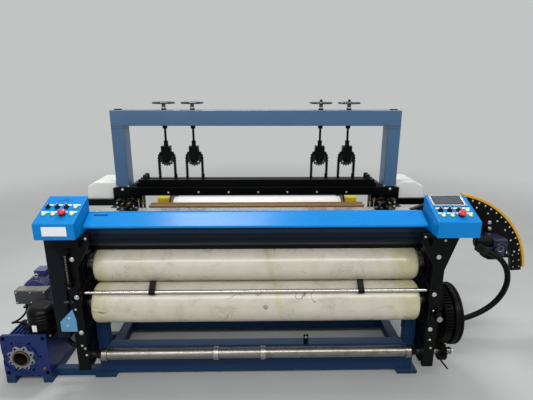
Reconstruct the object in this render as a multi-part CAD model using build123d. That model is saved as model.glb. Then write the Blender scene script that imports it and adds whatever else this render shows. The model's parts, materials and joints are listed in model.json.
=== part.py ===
from build123d import *
import math
import os

os.makedirs("parts", exist_ok=True)

# A wire mesh weaving machine. Millimetres, X to the right as the operator sees it, Y to the back, Z up.
# The origin is on the floor, in the middle of the four anchor bolts.

# Fits and clearances
running = 0.05  # radial, a shaft in its own hole
seat = 0.3  # between curved or lightly seated pieces
slide_gap = 1.0  # each side of a sliding frame in its groove

# Anchor bolts
anchor_x = 900
anchor_y = 540
anchor_hole = 9
foot_thick = 20

# Side castings
side_inner = 935
side_plate = 30
side_rim = 50  # how far the rim and bosses reach outwards
rib_height = 12  # ribs and bosses on the inner face
flange_inner = side_inner - 9  # edge of the front wall, beside the rollers
casting_front = -790
casting_back = 228
front_plate = 20
casting_bottom = 150
box_floor = 940  # height of the seat under the control boxes
bracket_top = 975  # height of the seat under the portal posts

# Rollers
roller_gap = 50  # between a roller's end and the side casting
roller_length = 2 * (side_inner - roller_gap)
upper_radius = 92
lower_radius = 112
nip = 4
lower_y = -676
lower_z = 509
upper_y = -619
journal_radius = 30
upper_z = lower_z + math.sqrt((lower_radius + upper_radius + nip) ** 2 - (upper_y - lower_y) ** 2)

# Take-up gears
gear_module = 5.5
roller_teeth = 24
counter_teeth = 24
wheel_teeth = 60
winding_teeth = 17
counter_width = 22
wheel_width = 40
wheel_y = -620
wheel_shaft_radius = 20
wheel_disc_radius = 178
winding_y = -720
counter_span = gear_module * (roller_teeth + counter_teeth) / 2
wheel_span = gear_module * (wheel_teeth + winding_teeth) / 2
wheel_z = lower_z - math.sqrt(counter_span**2 - (wheel_y - lower_y) ** 2)
winding_z = wheel_z - math.sqrt(wheel_span**2 - (winding_y - wheel_y) ** 2)
side_outer = side_inner + side_rim
counter_x = side_outer + 19  # inner face of the small gears
wheel_x = counter_x + counter_width + 9  # inner face of the large gear

# Winding shaft
tube_radius = 30
tube_half = 845
spindle_radius = 17.5

# Guide rod in front of the lower roller
rod_y = -760
rod_z = 610
rod_radius = 9
rod_shoulder = side_inner - rib_height - 2
finger_x = 560

# Base frame
base_front = -640
leg = 60
leg_inner = 870
front_leg_top = 365
rear_leg_top = 540
front_beam_height = 180
section_wall = 8
rail_bottom = 305
rear_cross_y = 300
cross_top = 120

# Sley, which swings about a rocker shaft
rocker_y = -150
rocker_z = 250
rocker_bearing_x = (640, 680)
rocker_boss = 45
rocker_radius = 25
sley_half = 700
board_depth = 80
board_top = 925
board_thick = 25
sword_x = 600

# Rails and beams across the front
rail_front = -417
rail_depth = 112
rail_top = 945
rail_thick = 20
breast_front = -700
breast_depth = 100
breast_bottom = 880
breast_top = 970
cover_half = side_inner - 50
cover_front = -763
cover_lip = 981
cover_rise = 44
cover_crest = cover_lip + cover_rise
cover_fall = 12  # how far its top drops towards the back
cover_sheet = 3

# Portal over the heald frames
portal_outer = side_inner + 60
post_width = 90
post_depth = 120
portal_front = 94
beam_bottom = 1408
beam_height = 105
section_steel = 6
portal_middle = portal_front + post_depth / 2
beam_top = beam_bottom + beam_height

# Cross bar in front of the heald frames, with its wings under the side covers
bar_front = 64
bar_bottom = 925
bar_top = 980
wing_reach = 225
wing_bottom = 853
wing_top = 874
wing_back = 360
cover_top = 1017

# Heald frames
heald_half = portal_outer - post_width - 41
heald_thick = 30
heald_gap = 28
heald_bottom = 600
heald_top = 1030
heald_top_bar = 100
heald_bottom_bar = 50
heald_stile = 40
groove_depth = 14
guide_bottom = 540
guide_top = 1000
front_heald_y = portal_middle - heald_gap / 2 - heald_thick / 2 - 1
rear_heald_y = front_heald_y + heald_gap + heald_thick
chain_y = (front_heald_y + rear_heald_y) / 2

# Lifting gear: handwheel, screw, hanger block, sprocket and chain
lift_x = (-640, -445, 445, 640)
screw_radius = 8.5
handwheel_radius = 80
handwheel_rise = 47
handwheel_z = beam_top + handwheel_rise
rim_section = 12
sprocket_teeth = 18
chain_pitch = 19.05
sprocket_z = 1177
pin_radius = 8
block_width = 66
block_top = 1264
block_cheek = 12
chain_width = 20.6
plate_thick = 2.4
strand_links = 10
sprocket_radius = chain_pitch / 2 / math.sin(math.pi / sprocket_teeth)
slot_width = chain_width + 5.4
slot_top = sprocket_z + sprocket_radius + 12

# Control boxes
desk_front = -850
desk_back = -640
desk_lip = 1023
desk_crest = 1110
left_box = (-1090, -890)
right_box = (900, 1115)
control_pitch = 46
selector_stem = 5
stop_stem = 8
left_rows = (130, 74)
right_rows = (92, 52)
desk_tilt = math.degrees(math.atan2(desk_crest - desk_lip, desk_back - desk_front))

# Pedestal and bent tube under the left control box, and the hub bracket behind them
pedestal_bottom = 330
tube_x = -1078
tube_y = -690
tube_z = 240
hub_y = -600

# Pressure spring and star knob on the left casting
spring_x = -970
spring_y = -810
spring_bottom = 692
spring_top = 851
spring_radius = 15
spring_turns = 11
knob_z = 664
knob_stud = 5
knob_radius = 17

# Warp beam behind the machine
warp_y = 1050
warp_z = 500
warp_radius = 150
warp_flange_radius = 230
warp_half = 790
warp_flange = 16
stand_foot = 12
stand_gap = 34
stand_x = warp_half + warp_flange + stand_gap  # inner face of the bearings

# Side drives on the left
gearbox_x = (-1455, -1195)
gearbox_y = (-700, -470)
gearbox_z = (50, 270)
gearbox_face = 312  # top of its front face
face_thick = 18
output_x = -1345
output_z = 172
output_bore = 40
output_tube = 47
servo_x = -1250
servo_y = -600
motor_x = -1383
motor_z = 424
motor_radius = 88
motor_y = (-400, -180)

# Rapier tape guide on the right
guide_centre_x = 1265
guide_centre_z = 405
guide_radius = 574
guide_band = 214
guide_y = (-165, -135)
edge_thick = 18
rapier_x = 1550
rapier_z = 675

# Hose from the rapier motor to the right side casting
hose_radius = 17.5
hose_route = [
    (1440, -372, 672),
    (1512, -372, 642),
    (1571, -370, 589),
    (1609, -365, 519),
    (1622, -358, 440),
    (1609, -348, 361),
    (1572, -340, 290),
    (1514, -332, 230),
    (1441, -324, 183),
    (1354, -317, 149),
    (1258, -310, 126),
    (1150, -304, 113),
    (1040, -300, 108),
]

# Cable from the servo motor to the brake box of the main motor
cable_radius = 6
cable_route = [
    (-1372, -600, 337),
    (-1407, -600, 337),
    (-1435, -589, 327),
    (-1454, -568, 313),
    (-1461, -540, 300),
    (-1457, -509, 293),
    (-1447, -480, 297),
    (-1434, -457, 314),
    (-1426, -445, 342),
    (-1426, -445, 377),
]


def block(x, y, z):
    """A plain block between three pairs of faces."""
    middle = Pos(sum(x) / 2, sum(y) / 2, sum(z) / 2)
    return middle * Box(x[1] - x[0], y[1] - y[0], z[1] - z[0])


def bar_x(x, y, z, radius):
    """A round bar along X between two ends."""
    return Pos(sum(x) / 2, y, z) * Rot(0, 90, 0) * Cylinder(radius, x[1] - x[0])


def bar_y(y, x, z, radius):
    """A round bar along Y between two ends."""
    return Pos(x, sum(y) / 2, z) * Rot(90, 0, 0) * Cylinder(radius, y[1] - y[0])


def bar_z(z, x, y, radius):
    """A round bar along Z between two ends."""
    return Pos(x, y, sum(z) / 2) * Cylinder(radius, z[1] - z[0])


def outline(points):
    """A flat face with the given corners."""
    return make_face(Polyline(*points, close=True))


def across_x(face, x):
    """A face drawn in Y and Z, as thick as the pair of x values."""
    return extrude(Plane.YZ.offset(x[0]) * face, x[1] - x[0])


def across_y(face, y):
    """A face drawn in X and Z, as thick as the pair of y values."""
    return extrude(Plane.XZ.offset(-y[1]) * face, y[1] - y[0])


def turned_x(points, y, z):
    """A piece turned about an axis along X, from points of x and radius."""
    face = make_face(Polyline(*points, close=True))
    return Pos(0, y, z) * revolve(face, Axis.X)


def on_desk(x, along):
    """A place on a sloping desk: x, and the distance up the slope from its front edge."""
    slope = math.radians(desk_tilt)
    place = (x, desk_front + along * math.cos(slope), desk_lip + along * math.sin(slope))
    return Location(Plane(origin=place, x_dir=(1, 0, 0), z_dir=(0, -math.sin(slope), math.cos(slope))))


def both_sides(shape):
    """A piece and its mirror image on the other side."""
    return [shape, mirror(shape, about=Plane.YZ)]


def joined(pieces):
    """Pieces made into one solid."""
    whole = pieces[0]
    for piece in pieces[1:]:
        whole = whole + piece
    return whole


def group(pieces):
    """Separate solids kept in one node."""
    return Compound(children=[solid for piece in pieces for solid in piece.solids()])


def gear_face(teeth, towards, on_tooth):
    """A toothed outline. towards is the direction, in degrees, of the gear that it meets."""
    step = 360 / teeth
    start = towards if on_tooth else towards + step / 2
    pitch_radius = gear_module * teeth / 2
    tip = pitch_radius + gear_module * 0.95
    root = pitch_radius - gear_module * 1.2
    points = []
    for n in range(teeth):
        for share, radius in ((-0.33, root), (-0.12, tip), (0.12, tip), (0.33, root)):
            angle = math.radians(start + (n + share) * step)
            points.append((radius * math.cos(angle), radius * math.sin(angle)))
    return outline(points)


def ring(outer, inner, x, z):
    """A flat ring about a centre."""
    return Pos(x, z) * (Circle(outer) - Circle(inner))


def sector(outer, inner, start, end):
    """A flat ring's stretch between two angles, in degrees, about the origin."""
    arc_out = CenterArc((0, 0), outer, start, end - start)
    arc_in = CenterArc((0, 0), inner, start, end - start)
    return make_face([arc_out, arc_in, Line(arc_out @ 0, arc_in @ 0), Line(arc_out @ 1, arc_in @ 1)])


def casting_outline():
    """The side casting seen from the side, with its corners rounded."""
    face = outline(
        [
            (casting_front, casting_bottom),
            (casting_front, box_floor - 5),
            (-560, box_floor - 5),
            (-500, 880),
            (50, 880),
            (portal_front, 905),
            (portal_front, bracket_top - 20),
            (casting_back, bracket_top - 20),
            (casting_back, 700),
            (150, 480),
            (-100, 300),
            (-420, 240),
            (-540, casting_bottom),
        ]
    )
    return fillet(face.vertices().sort_by(Axis.Y)[0:7], 45)


def front_web():
    """The front wall of the casting, with the arm and the wing that carry a control box."""
    face = outline(
        [
            (flange_inner, casting_bottom),
            (side_outer, casting_bottom),
            (side_outer, 738),
            (side_outer + 65, box_floor),
            (850, box_floor),
            (850, 900),
            (flange_inner, 762),
        ]
    )
    drop = Pos(893, 905) * Circle(15) + outline([(880, 898), (906, 898), (901, 876), (897, 872)])
    return face - drop


def side_casting():
    """A ribbed cast side of the machine, on the right. The left one is its mirror image."""
    face = casting_outline()
    light = Pos(-330, 620) * Ellipse(120, 95) + Pos(-60, 680) * Circle(90)
    light = light + Pos(-330, 370) * Ellipse(90, 45)
    plate = across_x(face - light, (side_inner, side_inner + side_plate))
    rim = across_x(face - offset(face, -14), (side_inner, side_outer))
    ribs = ring(118, 105, upper_y, upper_z) + ring(138, 125, lower_y, lower_z)
    ribs = ribs + Pos(upper_y, upper_z) * Rot(0, 0, 40) * Pos(150, 0) * Rectangle(180, 12)
    ribs = ribs + Pos(lower_y, lower_z) * Rot(0, 0, -20) * Pos(170, 0) * Rectangle(160, 12)
    ribs = across_x(ribs & face, (side_inner - rib_height, side_inner))
    front = across_y(front_web(), (casting_front, casting_front + front_plate))
    whole = joined([plate, rim, ribs, front])
    for y, z, radius in (
        (upper_y, upper_z, 62),
        (lower_y, lower_z, 62),
        (winding_y, winding_z, 42),
    ):
        whole = whole + bar_x((side_inner - rib_height, side_outer), y, z, radius)
    foot = block((flange_inner, side_outer), (-765, -675), (casting_bottom, 262))
    whole = whole + chamfer(foot.edges().filter_by(Axis.X).group_by(Axis.Z)[0], 22)
    for z in (390, 600, 815):
        whole = whole + bar_y((casting_front - 4, casting_front), side_inner + 10, z, 18)
    for y, z in ((-610, 250), (-450, 335), (-150, 335)):
        whole = whole + bar_x((leg_inner + leg, side_inner), y, z, 28)
    bracket_x = (portal_outer - 95, portal_outer + 5)
    bracket = block(bracket_x, (portal_front, casting_back), (860, bracket_top))
    whole = whole + bracket
    for y, z, radius in (
        (upper_y, upper_z, journal_radius),
        (lower_y, lower_z, journal_radius),
        (winding_y, winding_z, spindle_radius),
    ):
        whole = whole - bar_x((side_inner - 60, side_outer + 60), y, z, radius + running)
    rod_hole = bar_x((side_inner - 60, side_inner + 2), rod_y, rod_z, rod_radius - 3 + running)
    return whole - rod_hole


def right_casting():
    """The right side casting, with the bearing of the take-up wheel and its pads."""
    whole = side_casting() + bar_x((side_inner, side_outer), wheel_y, wheel_z, 45)
    stub = bar_y((casting_front - 10, casting_front), side_outer - 15, 475, 30)
    stub = stub + bar_y((casting_front - 45, casting_front - 10), side_outer - 15, 475, 17)
    whole = whole + stub + bar_x((side_inner + side_plate, side_outer + 25), -700, 657, 18)
    whole = whole + block((side_inner + side_plate, side_outer), (-200, -100), (690, 870))
    whole = whole + block((side_inner + side_plate, side_outer + 20), (-340, -260), (245, 300))
    end_x, end_y, end_z = hose_route[-1]
    arm = block((side_outer, side_outer + 20), (end_y - 25, end_y + 25), (end_z - 28, 300))
    out = (Vector(*hose_route[-1]) - Vector(*hose_route[-2])).normalized()
    gland = Plane(origin=hose_route[-1], z_dir=out) * Circle(hose_radius + 6)
    gland = extrude(gland, end_x - side_outer - 12)
    whole = whole + arm + gland
    return whole - bar_x((side_inner - 60, side_outer + 60), wheel_y, wheel_z, wheel_shaft_radius + running)


def left_casting():
    """The left side casting, with the seats of the pressure spring and the stud of its knob."""
    whole = mirror(side_casting(), about=Plane.YZ)
    for low, high in ((spring_bottom - 8, spring_bottom), (spring_top, spring_top + 8)):
        whole = whole + block((spring_x - 18, spring_x + 18), (spring_y - 18, casting_front), (low, high))
    whole = whole + bar_y((casting_front - 28, casting_front), spring_x, knob_z, knob_stud)
    plate_face = -side_inner - side_plate
    lug = outline([(plate_face, 265), (-1138, 265), (-1138, 330), (-1090, 385), (plate_face, 385)])
    lug = across_y(lug - Pos(-1030, 330) * Circle(24), (hub_y, hub_y + 12))
    return whole + lug + bar_y((hub_y - 14, hub_y), -1088, 312, 24)


def pressure_spring():
    """A closely wound spring, as one stack of turns."""
    height = spring_top - spring_bottom
    pitch = height / spring_turns
    core = extrude(RegularPolygon(spring_radius - 3.5, 8), height)
    coils = [core]
    for n in range(spring_turns):
        coils.append(Pos(0, 0, n * pitch) * extrude(RegularPolygon(spring_radius, 8), pitch * 0.55))
    return Pos(spring_x, spring_y, spring_bottom) * joined(coils)


def star_knob():
    """A knob with five lobes that turns on a stud."""
    face = Circle(knob_radius - 6)
    for n in range(5):
        face = face + Rot(0, 0, 72 * n) * Pos(knob_radius - 5, 0) * Circle(5)
    face = Pos(spring_x, knob_z) * (face - Circle(knob_stud + running))
    return across_y(face, (casting_front - 24, casting_front - 6))


def base_frame():
    """The base: beams, legs, feet and rails, the bearings of the rocker shaft and the motor stand."""
    pieces = []
    span = (-leg_inner, leg_inner)
    top = foot_thick + front_beam_height
    wall = section_wall
    for web, flange in (
        ((base_front, base_front + wall), (base_front, base_front + leg)),
        ((-base_front - wall, -base_front), (-base_front - leg, -base_front)),
    ):
        beam = block(span, web, (foot_thick, top))
        for z in (foot_thick, top - wall):
            beam = beam + block(span, flange, (z, z + wall))
        pieces.append(beam)
    for y in (rocker_y, rear_cross_y):
        beam = block(span, (y - 50, y + 50), (cross_top - wall, cross_top))
        beam = beam + block(span, (y - 50, y - 50 + wall), (foot_thick, cross_top - wall))
        pieces.append(beam + block(span, (y + 50 - wall, y + 50), (foot_thick, cross_top - wall)))
    for piece in side_of_base():
        pieces += both_sides(piece)
    return pieces + left_outrigger()


def side_of_base():
    """The legs, feet, rails and rocker bearing of one side, each a piece of its own."""
    x = (leg_inner, leg_inner + leg)
    front = (base_front, base_front + leg)
    back = (-base_front - leg, -base_front)
    pieces = [block(x, front, (foot_thick, front_leg_top)), block(x, back, (foot_thick, rear_leg_top))]
    for low in (foot_thick, rail_bottom):
        tube = block(x, (front[1], back[0]), (low, low + leg))
        inner = (x[0] + section_steel, x[1] - section_steel)
        hollow = block(inner, (front[1], back[0]), (low + section_steel, low + leg - section_steel))
        pieces.append(tube - hollow)
    for y, hole_y in ((base_front - 20, -anchor_y), (-base_front - leg - 70, anchor_y)):
        plate = block((anchor_x - 60, anchor_x + 60), (y, y + leg + 90), (0, foot_thick))
        pieces.append(plate - bar_z((-1, foot_thick + 1), anchor_x, hole_y, anchor_hole))
    depth = (rocker_y - rocker_boss, rocker_y + rocker_boss)
    bearing = block(rocker_bearing_x, depth, (cross_top, rocker_z))
    bearing = bearing + bar_x(rocker_bearing_x, rocker_y, rocker_z, rocker_boss)
    through = (rocker_bearing_x[0] - 10, rocker_bearing_x[1] + 10)
    return pieces + [bearing - bar_x(through, rocker_y, rocker_z, rocker_radius + running)]


def left_outrigger():
    """The skids under the left drives and the motor stand."""
    left, right = gearbox_x
    floor = gearbox_z[0]
    depth = (gearbox_y[0], motor_y[1])
    inner = (left + 50, right - 50)
    side = (right, -anchor_x - 60)
    pieces = [block((left, left + 50), depth, (0, floor)), block((right - 50, right), depth, (0, floor))]
    for y in (-640, -300):
        pieces.append(block(inner, (y, y + 40), (0, floor)))
        pieces.append(block(side, (y, y + 40), (0, floor)))
    pieces.append(block((-anchor_x - 60, -leg_inner - leg), (-640, -600), (foot_thick, floor)))
    pieces.append(block((-anchor_x - 60, -leg_inner - leg), (-300, -260), (0, floor)))
    stand_top = motor_z - motor_radius - 6
    shelf = stand_top - 12
    pieces.append(block((motor_x - 90, motor_x + 90), (-410, motor_y[1]), (shelf, stand_top)))
    for x in (motor_x - 62, motor_x + 50):
        pieces.append(block((x, x + 12), (-400, -190), (floor, shelf)))
    pieces.append(block((motor_x - 50, motor_x + 50), (-300, -288), (floor, shelf)))
    return pieces


def gear_bodies():
    """The take-up gear train: the gear on the lower roller, the wheel and the winding pinion."""
    down = math.degrees(math.atan2(wheel_z - lower_z, wheel_y - lower_y))
    forward = math.degrees(math.atan2(winding_z - wheel_z, winding_y - wheel_y))
    small = (counter_x, counter_x + counter_width)
    large = (wheel_x, wheel_x + wheel_width)
    bore = Circle(journal_radius - 6)
    roller_gear = across_x(Pos(lower_y, lower_z) * (gear_face(roller_teeth, down, True) - bore), small)
    counter = across_x(Pos(wheel_y, wheel_z) * gear_face(counter_teeth, down + 180, False), small)
    wheel = across_x(Pos(wheel_y, wheel_z) * gear_face(wheel_teeth, forward, True), large)
    pinion = across_x(Pos(winding_y, winding_z) * gear_face(winding_teeth, forward + 180, False), large)
    return roller_gear, counter, wheel, pinion


def take_up_wheel(counter, wheel):
    """The large toothed wheel with its shaft, its small gear and its outer disc."""
    start = side_inner
    disc = wheel_x + wheel_width + 15
    shaft = turned_x(
        [
            (start, 0),
            (start, wheel_shaft_radius),
            (wheel_x + wheel_width, wheel_shaft_radius),
            (wheel_x + wheel_width, wheel_disc_radius - 30),
            (disc, wheel_disc_radius - 30),
            (disc, wheel_disc_radius - 6),
            (disc + 8, wheel_disc_radius),
            (disc + 37, wheel_disc_radius),
            (disc + 45, wheel_disc_radius - 8),
            (disc + 45, 0),
        ],
        wheel_y,
        wheel_z,
    )
    return shaft + counter + wheel


def lower_roller(gear):
    """The lower wrapped roller with its journals and its gear."""
    half = roller_length / 2
    barrel = turned_x(
        [
            (-side_outer, 0),
            (-side_outer, journal_radius),
            (-half, journal_radius),
            (-half, lower_radius - 10),
            (-half + 10, lower_radius),
            (half - 10, lower_radius),
            (half, lower_radius - 10),
            (half, journal_radius),
            (side_outer, journal_radius),
            (side_outer, journal_radius - 6),
            (counter_x + counter_width, journal_radius - 6),
            (counter_x + counter_width, 0),
        ],
        lower_y,
        lower_z,
    )
    return barrel + gear


def upper_roller():
    """The upper wrapped roller with its journals."""
    half = roller_length / 2
    return turned_x(
        [
            (-side_outer, 0),
            (-side_outer, journal_radius),
            (-half, journal_radius),
            (-half, upper_radius - 10),
            (-half + 10, upper_radius),
            (half - 10, upper_radius),
            (half, upper_radius - 10),
            (half, journal_radius),
            (side_outer, journal_radius),
            (side_outer, 0),
        ],
        upper_y,
        upper_z,
    )


def winding_shaft(pinion):
    """The mesh winding tube with its end collars, cones, clamp collars, pinion and spring clutch."""
    end = side_outer + 6
    clutch = wheel_x + wheel_width
    points = [(-end, 0), (-end, spindle_radius), (-915, spindle_radius), (-878, 33), (-875, 37.5)]
    points += [(-tube_half, 37.5), (-tube_half, tube_radius), (tube_half, tube_radius)]
    points += [(tube_half, 37.5), (875, 37.5), (878, 33), (915, spindle_radius), (clutch, spindle_radius)]
    for n in range(4):
        points += [(clutch + n * 10, 20), (clutch + n * 10 + 6, 20), (clutch + n * 10 + 6, 15)]
        points += [(clutch + n * 10 + 10, 15)]
    points += [(clutch + 40, 11), (clutch + 52, 11), (clutch + 52, 0)]
    whole = turned_x(points, winding_y, winding_z) + pinion
    for x in (-200, 60):
        whole = whole + bar_x((x - 14, x + 14), winding_y, winding_z, 37.5)
    return whole


def guide_rod():
    """The polished rod in front of the nip, turned down at its ends."""
    return turned_x(
        [
            (-side_inner - 2, 0),
            (-side_inner - 2, rod_radius - 3),
            (-rod_shoulder, rod_radius - 3),
            (10 - rod_shoulder, rod_radius),
            (rod_shoulder - 10, rod_radius),
            (rod_shoulder, rod_radius - 3),
            (side_inner + 2, rod_radius - 3),
            (side_inner + 2, 0),
        ],
        rod_y,
        rod_z,
    )


def rod_fingers():
    """Two flat hooks, clamped on the rod and reaching back over the lower roller."""
    eye = Pos(rod_y, rod_z) * (Circle(rod_radius + 8) - Circle(rod_radius + running))
    reach_y = rod_y + 42
    reach_z = rod_z + 44
    arm = outline(
        [
            (rod_y - 4, rod_z + rod_radius + 5),
            (rod_y + 8, rod_z + rod_radius + 3),
            (reach_y + 4, reach_z - 8),
            (reach_y, reach_z + 4),
            (reach_y - 14, reach_z + 2),
        ]
    )
    return [across_x(eye + arm, (x - 9, x + 9)) for x in (-finger_x, finger_x)]


def sley_rocker():
    """The rocker shaft, the two swords and the beam that carries the race board."""
    under = board_top - board_thick
    whole = bar_x((-sley_half, sley_half), rocker_y, rocker_z, rocker_radius)
    sword = outline([(-42, 0), (42, 0), (28, under - 50 - rocker_z), (-28, under - 50 - rocker_z)])
    slot = Pos(0, 330) * SlotOverall(340, 26, rotation=90)
    face = sword + Circle(44) - slot
    for x in (-sword_x, sword_x):
        whole = whole + across_x(Pos(rocker_y, rocker_z) * face, (x - 11, x + 11))
    y = (rocker_y - board_depth / 2 + 5, rocker_y + board_depth / 2 - 5)
    beam = block((-sley_half, sley_half), y, (under - 50, under))
    inside = block((-sley_half, sley_half), (y[0] + 6, y[1] - 6), (under - 44, under - 6))
    return whole + (beam - inside)


def race_board():
    """The brown board on the sley that the rapier runs over, with a shallow track."""
    y = (rocker_y - board_depth / 2, rocker_y + board_depth / 2)
    board = block((-sley_half, sley_half), y, (board_top - board_thick, board_top))
    board = chamfer(board.edges().filter_by(Axis.X).group_by(Axis.Z)[-1], 3)
    return board - block((-sley_half, sley_half), (rocker_y - 12, rocker_y + 12), (board_top - 5, board_top))


def breast_beam():
    """The beam under the breast cover: a box section with a folded apron below it."""
    x = (-side_inner, side_inner)
    back = breast_front + breast_depth
    outer = block(x, (breast_front, back), (breast_bottom, breast_top))
    inside = block(
        x,
        (breast_front + section_steel, back - section_steel),
        (breast_bottom + section_steel, breast_top - section_steel),
    )
    apron = outline(
        [
            (breast_front + 6, breast_bottom),
            (breast_front + 6, 862),
            (breast_front + 34, 838),
            (breast_front + 38, 842),
            (breast_front + 12, 865),
            (breast_front + 12, breast_bottom),
        ]
    )
    return (outer - inside) + across_x(apron, (-side_inner + 40, side_inner - 40))


def breast_cover():
    """The bright blue sheet folded over the breast beam."""
    back = breast_front + breast_depth
    back_top = cover_crest - cover_fall
    t = cover_sheet
    face = outline(
        [
            (breast_front + 30, breast_top),
            (cover_front, breast_top),
            (cover_front, cover_lip),
            (-669, cover_crest),
            (-664, cover_crest + 6),
            (-658, cover_crest),
            (back, back_top),
            (back, breast_top),
            (back - t, breast_top),
            (back - t, back_top - t),
            (-668, cover_crest - t),
            (cover_front + t, cover_lip - t + 1),
            (cover_front + t, breast_top + t),
            (breast_front + 30, breast_top + t),
        ]
    )
    return across_x(face, (-cover_half, cover_half))


def fell_rail():
    """The polished rail that the finished mesh slides over."""
    y = (rail_front, rail_front + rail_depth)
    rail = block((-side_inner, side_inner), y, (rail_top - rail_thick, rail_top))
    rail = fillet(rail.edges().filter_by(Axis.X).group_by(Axis.Z)[-1], 6)
    web = block((-side_inner, side_inner), (rail_front + 20, rail_front + 28), (860, rail_top - rail_thick))
    return rail + web


def weft_clamp(x):
    """A weft clamp on the rail: a foot, a jaw with a roller, and a curved lever."""
    middle = rail_front + rail_depth / 2
    seat_z = rail_top + 12
    foot = block((x - 38, x + 38), (middle - 26, middle + 26), (rail_top, seat_z))
    foot = chamfer(foot.edges().filter_by(Axis.Z), 8)
    jaw = across_y(
        outline([(x - 26, seat_z), (x + 14, seat_z), (x + 6, seat_z + 28), (x - 18, seat_z + 36)]),
        (middle - 12, middle + 12),
    )
    low = rail_top + 30
    arm = outline([(x - 10, low), (x + 40, low + 6), (x + 42, low + 16), (x - 10, low + 12)])
    lever = across_y(arm + Pos(x + 2, low) * sector(44, 34, 15, 120), (middle - 5, middle + 5))
    return foot + jaw + lever + bar_y((middle - 20, middle + 20), x - 12, rail_top + 38, 9)


def front_cross_bar():
    """The black bar in front of the healds, with the heald guides and the wings of the side covers."""
    whole = block((-portal_outer, portal_outer), (bar_front, portal_front), (bar_bottom, bar_top))
    drop = portal_outer + 5
    far = portal_outer + wing_reach
    lip = block((drop, far), (bar_front, portal_front - 2), (wing_bottom, wing_top + 25))
    lip = lip + block((drop - 10, drop + 10), (bar_front, portal_front), (bar_bottom, bar_top))
    lip = lip + block((drop, drop + 10), (bar_front, portal_front), (wing_bottom, bar_top))
    lip = lip + block((drop, far), (bar_front, wing_back), (wing_bottom, wing_top))
    guide_face = (heald_half - groove_depth, heald_half + 20)
    reach = (portal_front, rear_heald_y + heald_thick / 2 + 24)
    guide = block(guide_face, reach, (guide_bottom, guide_top))
    for y in (front_heald_y, rear_heald_y):
        half = heald_thick / 2 + slide_gap
        edge = (guide_face[0] - 1, heald_half + slide_gap + 1)
        guide = guide - block(edge, (y - half, y + half), (guide_bottom, guide_top))
    for piece in both_sides(lip) + both_sides(guide):
        whole = whole + piece
    return whole


def heald_frame(y, hung_on):
    """A heald frame: top bar, bottom bar and stiles, with lugs where the lifting chains end."""
    step = 24
    outer = outline(
        [
            (-heald_half, heald_bottom),
            (heald_half, heald_bottom),
            (heald_half, heald_top - step),
            (heald_half - 22, heald_top - step),
            (heald_half - 22, heald_top),
            (22 - heald_half, heald_top),
            (22 - heald_half, heald_top - step),
            (-heald_half, heald_top - step),
        ]
    )
    low = heald_bottom + heald_bottom_bar
    high = heald_top - heald_top_bar
    inside = heald_half - heald_stile
    opening = Pos(0, (low + high) / 2) * Rectangle(2 * inside, high - low)
    whole = across_y(outer - opening, (y - heald_thick / 2, y + heald_thick / 2))
    for x in (69 - heald_half, heald_half - 69):
        whole = whole + bar_z((heald_top, heald_top + 32), x, y, 13)
    faces_back = y < chain_y
    gap_face = y + heald_thick / 2 if faces_back else y - heald_thick / 2
    chain_face = chain_y - chain_width / 2 - seat if faces_back else chain_y + chain_width / 2 + seat
    lug_y = (min(gap_face, chain_face), max(gap_face, chain_face))
    last_pin = sprocket_z - strand_links * chain_pitch
    for middle in lift_x:
        x = middle + hung_on * sprocket_radius
        whole = whole + block((x - 8, x + 8), lug_y, (last_pin - 8, last_pin + 14))
    return whole


def chain_pins():
    """The pin centres of one chain, from one strand's end over the sprocket to the other's."""
    pins = [(-sprocket_radius, -n * chain_pitch) for n in range(strand_links, 0, -1)]
    wrap = sprocket_teeth // 2
    for n in range(wrap + 1):
        angle = math.radians(180 - 360 * n / sprocket_teeth)
        pins.append((sprocket_radius * math.cos(angle), sprocket_radius * math.sin(angle)))
    return pins + [(sprocket_radius, -n * chain_pitch) for n in range(1, strand_links + 1)]


def link_plate(start, end):
    """One side plate of a link, between two pins."""
    length = math.hypot(end[0] - start[0], end[1] - start[1])
    turn = math.degrees(math.atan2(end[1] - start[1], end[0] - start[0]))
    corners = [(-8.5, 0), (-4, -8), (length + 4, -8), (length + 8.5, 0), (length + 4, 8), (-4, 8)]
    return Pos(*start) * Rot(0, 0, turn) * outline(corners)


def lifting_chain():
    """A roller chain hung over its sprocket: inner and outer links in turn, and their rollers."""
    pins = chain_pins()
    half = chain_width / 2
    inner = half - plate_thick
    roller = inner - plate_thick
    pieces = []
    for n, (start, end) in enumerate(zip(pins, pins[1:])):
        plate = link_plate(start, end)
        layer = (inner, half) if n % 2 == 0 else (roller, inner)
        for low, high in (layer, (-layer[1], -layer[0])):
            pieces.append(across_y(plate, (low, high)))
    for n, pin in enumerate(pins):
        reach = inner if n in (0, len(pins) - 1) else roller
        square = Pos(*pin) * Rot(0, 0, 45) * Rectangle(7.4, 7.4)
        pieces.append(across_y(square, (-reach, reach)))
    whole = pieces[0].fuse(*pieces[1:])
    return Pos(0, chain_y, sprocket_z) * whole


def lift_sprocket(x):
    """A sprocket with eighteen teeth on a hub that turns on the hanger's pin."""
    step = 360 / sprocket_teeth
    points = []
    for n in range(sprocket_teeth):
        for share, radius in ((-0.36, sprocket_radius - 6), (-0.1, sprocket_radius + 3.5)):
            angle = math.radians((n + 0.5 + share) * step)
            points.append((radius * math.cos(angle), radius * math.sin(angle)))
        for share, radius in ((0.1, sprocket_radius + 3.5), (0.36, sprocket_radius - 6)):
            angle = math.radians((n + 0.5 + share) * step)
            points.append((radius * math.cos(angle), radius * math.sin(angle)))
    face = outline(points)
    for n in range(4):
        face = face - Rot(0, 0, 90 * n + 45) * Pos(33, 0) * RegularPolygon(8, 6)
    disc = across_y(face, (-5, 5)) + across_y(Circle(20), (-slot_width / 2 + 1, slot_width / 2 - 1))
    whole = disc - bar_y((-30, 30), 0, 0, pin_radius + running)
    return Pos(x, chain_y, sprocket_z) * whole


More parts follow.
